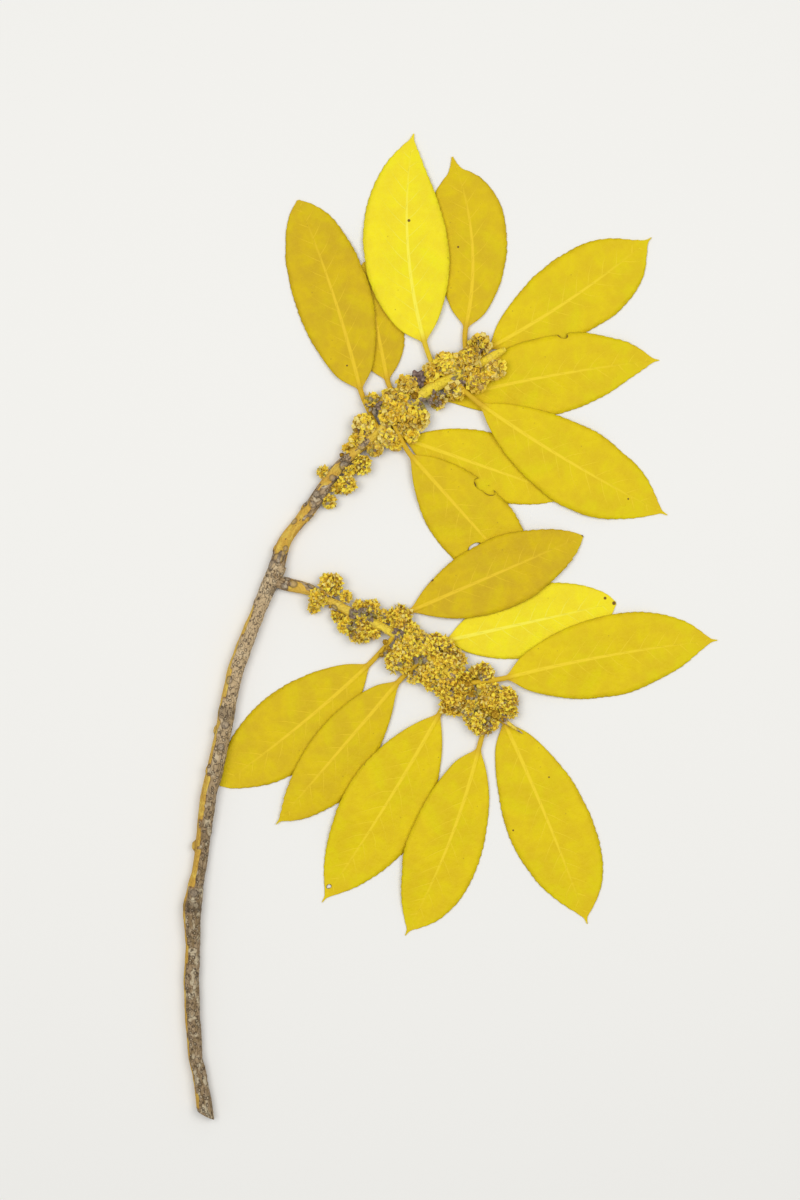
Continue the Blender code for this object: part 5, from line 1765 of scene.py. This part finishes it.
def add_rosette(shoot, patch, rng, scales):
    """The dry scales of one patch, in a spiral that spreads evenly over it. The outer ones
    stand lower and lie more open."""
    count = round(PATCH_SCALES * patch.radius)
    look = PATCH_SCALE
    turn = PATCH_TURN * np.arange(count) + rng.normal(0.0, PATCH_STRAY, count)
    outward = level_directions(turn)
    rank = np.sqrt((np.arange(count) + 0.5) / count)
    axis = unit(rng.normal(0.0, look.stray, outward.shape) + [0.0, 0.0, 1.0])
    middle = np.append(plan_place(shoot, patch), PRESS_HEIGHT - look.inset)
    centre = middle + outward * (PATCH_FILL * patch.radius * rank)[:, None]
    centre[:, 2] -= PATCH_FALL * rank
    length = rng.uniform(*look.length, count)
    opening = PATCH_OPENING + PATCH_OPENING_OUT * rank
    rings = petal_rings(centre, axis, outward, length, look.half_width * length, opening,
                        rng.uniform(*look.recurve, count), SCALE_TIP)
    scales.add(rings, rng.choice(3, size=count, p=look.tints))


def make_scales(shoot, places):
    """The dry scales that stand in rosettes in the patches on top of the tufts and here and
    there between the flowers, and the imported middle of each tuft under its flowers."""
    rng = np.random.default_rng({"upper": 15, "side": 18}[shoot])
    scales, hearts = Parts(), Parts()
    mine, nodes = tufts_of(shoot, places)
    for place in mine:
        add_loose_scales(place, places, rng, scales)
        hearts.add(packed_middle(place)[None], 0)
    for patch in SCALE_PATCHES[shoot]:
        add_rosette(shoot, patch, rng, scales)
    scale_skins = [tissue_material(f"dry_scale_{tone}_{shoot}", main, shade, 0.8, 0.75)
                   for tone, (main, shade) in SCALE_SKINS.items()]
    # The imported middle of a tuft: crumbled petals, scales and stalks, brown and matt, and
    # darkened as painted shade of the deep gaps between the flowers.
    crumble_and_gap_shade = tissue_material(f"packed_tuft_heart_{shoot}", *HEART_AND_GAP_SHADE_COLOURS[shoot], 0.7, 0.9, 0.1)
    scales.make(f"dry_scales_{shoot}", scale_skins, "flowers", nodes, 50)
    hearts.make(f"tuft_hearts_{shoot}", [crumble_and_gap_shade], "flowers", nodes, 180)


# How far the old bud's top leans from the middle of its solid, and how far it stands under the
# press.
BUD_LEAN = (-0.9, 0.5)
OLD_BUD_INSET = 2.2
# Its whorls from the outside in: how many scales, how wide they open and how high they stand.
BUD_WHORLS = ((6, 1.3, -0.4), (5, 0.9, 0.4), (4, 0.4, 0.9))
# Its scales: the outermost ones' length, how much shorter each further whorl is, and how far
# they curve back. Then the height and the radii of its heart, and how deep the heart starts.
OUTER_SCALE, SCALE_STEP, SCALE_RECURVE = 2.6, 0.5, 0.35
BUD_HEART, BUD_HEART_RADII, BUD_HEART_DEPTH = 3.2, [0.5, 1.5, 1.7, 1.2, 0.3], 1.8


def make_old_bud(places):
    """The dried bud: scales in three whorls round its heart, each whorl more closed. It lies
    on top of the tufts, leaning out from the shoot."""
    place = places[-1]
    middle = np.append(place.middle[:2] + BUD_LEAN, PRESS_HEIGHT - OLD_BUD_INSET)
    parts = Parts()
    for whorl, (count, opening, rise) in enumerate(BUD_WHORLS):
        turn = 2 * math.pi * (np.arange(count) / count) + whorl
        outward = level_directions(turn)
        axis = np.broadcast_to([0.0, 0.0, 1.0], outward.shape)
        centre = middle + outward * 0.6 + [0.0, 0.0, rise]
        length = np.full(count, OUTER_SCALE - SCALE_STEP * whorl)
        rings = petal_rings(centre, axis, outward, length, 0.5 * length, np.full(count, opening),
                            np.full(count, SCALE_RECURVE), 0.35)
        parts.add(rings, whorl % 2)
    low = middle[None] - [[0.0, 0.0, BUD_HEART_DEPTH]]
    parts.add(spindle_rings(low, low + [[0.0, 0.0, BUD_HEART]], BUD_HEART_RADII, 8), 0)
    # A dried bud's scales: dull, purplish brown, paler where they are worn.
    skins = [tissue_material("dried_bud_scale_dark", "8A7068", "66524C", 0.8, 0.8),
             tissue_material("dried_bud_scale_worn", "A08A7C", "7C685E", 0.8, 0.8)]
    parts.make("old_bud_scales", skins, "old_bud", ["old_bud"], 50)


# The stage, in metres: half the floor's side. Then the room's light, the two lamps with their
# places and powers, their side, and how far towards Y and how high they hang.
FLOOR_HALF_SIDE = 3.0
ROOM_STRENGTH = 0.40
LAMPS = (("left", -0.5, 5.75), ("right", 0.5, 5.45))
LAMP_SIDE = 0.7
LAMP_Y, LAMP_HEIGHT = 0.15, 1.15
# The photo's frame is this high on the surface, and its middle lies at this place.
FRAME_HEIGHT = 0.4561
FRAME_MIDDLE = (-0.0193, 0.0098)
LENS_MM, SENSOR_MM = 85.0, 36.0
NEAREST_VIEW = 0.01


def make_stage():
    """A pale floor, soft light from both sides and above, and a camera straight above, as the
    photo was taken."""
    mesh = bpy.data.meshes.new("floor")
    side = FLOOR_HALF_SIDE
    corners = [(-side, -side, 0.0), (side, -side, 0.0), (side, side, 0.0), (-side, side, 0.0)]
    mesh.from_pydata(corners, [], [(0, 1, 2, 3)])
    floor = new_object("floor", mesh)
    material, tree, shader = new_material("matt_white_board", 0.9, 0.1)
    shader.inputs["Base Color"].default_value = srgb_to_linear("F3F2EE")
    mesh.materials.append(material)

    world = bpy.data.worlds.new("soft_room")
    world.use_nodes = True
    background = world.node_tree.nodes["Background"]
    background.inputs["Color"].default_value = (1.0, 1.0, 1.0, 1.0)
    background.inputs["Strength"].default_value = ROOM_STRENGTH
    bpy.context.scene.world = world

    for name, x, power in LAMPS:
        lamp = bpy.data.lights.new(f"soft_box_{name}", "AREA")
        lamp.shape = "SQUARE"
        lamp.size = LAMP_SIDE
        lamp.energy = power
        box = new_object(lamp.name, lamp)
        box.location = (x, LAMP_Y, LAMP_HEIGHT)
        aim = -np.array(box.location)
        box.rotation_euler = (
            math.atan2(math.hypot(aim[0], aim[1]), -aim[2]), 0.0, math.atan2(-aim[0], aim[1])
        )

    camera_data = bpy.data.cameras.new("camera")
    camera_data.lens = LENS_MM
    camera_data.sensor_width = SENSOR_MM
    camera_data.clip_start = NEAREST_VIEW
    camera = new_object("camera", camera_data)
    camera.location = (*FRAME_MIDDLE, FRAME_HEIGHT * LENS_MM / SENSOR_MM)
    bpy.context.scene.camera = camera
    bpy.context.scene.view_settings.view_transform = "Standard"


make_limbs()
make_leaves()
tuft_places = place_tufts()
for shoot_name in ("upper", "side"):
    make_flowers(shoot_name, tuft_places)
    make_scales(shoot_name, tuft_places)
make_old_bud(tuft_places)
make_stage()
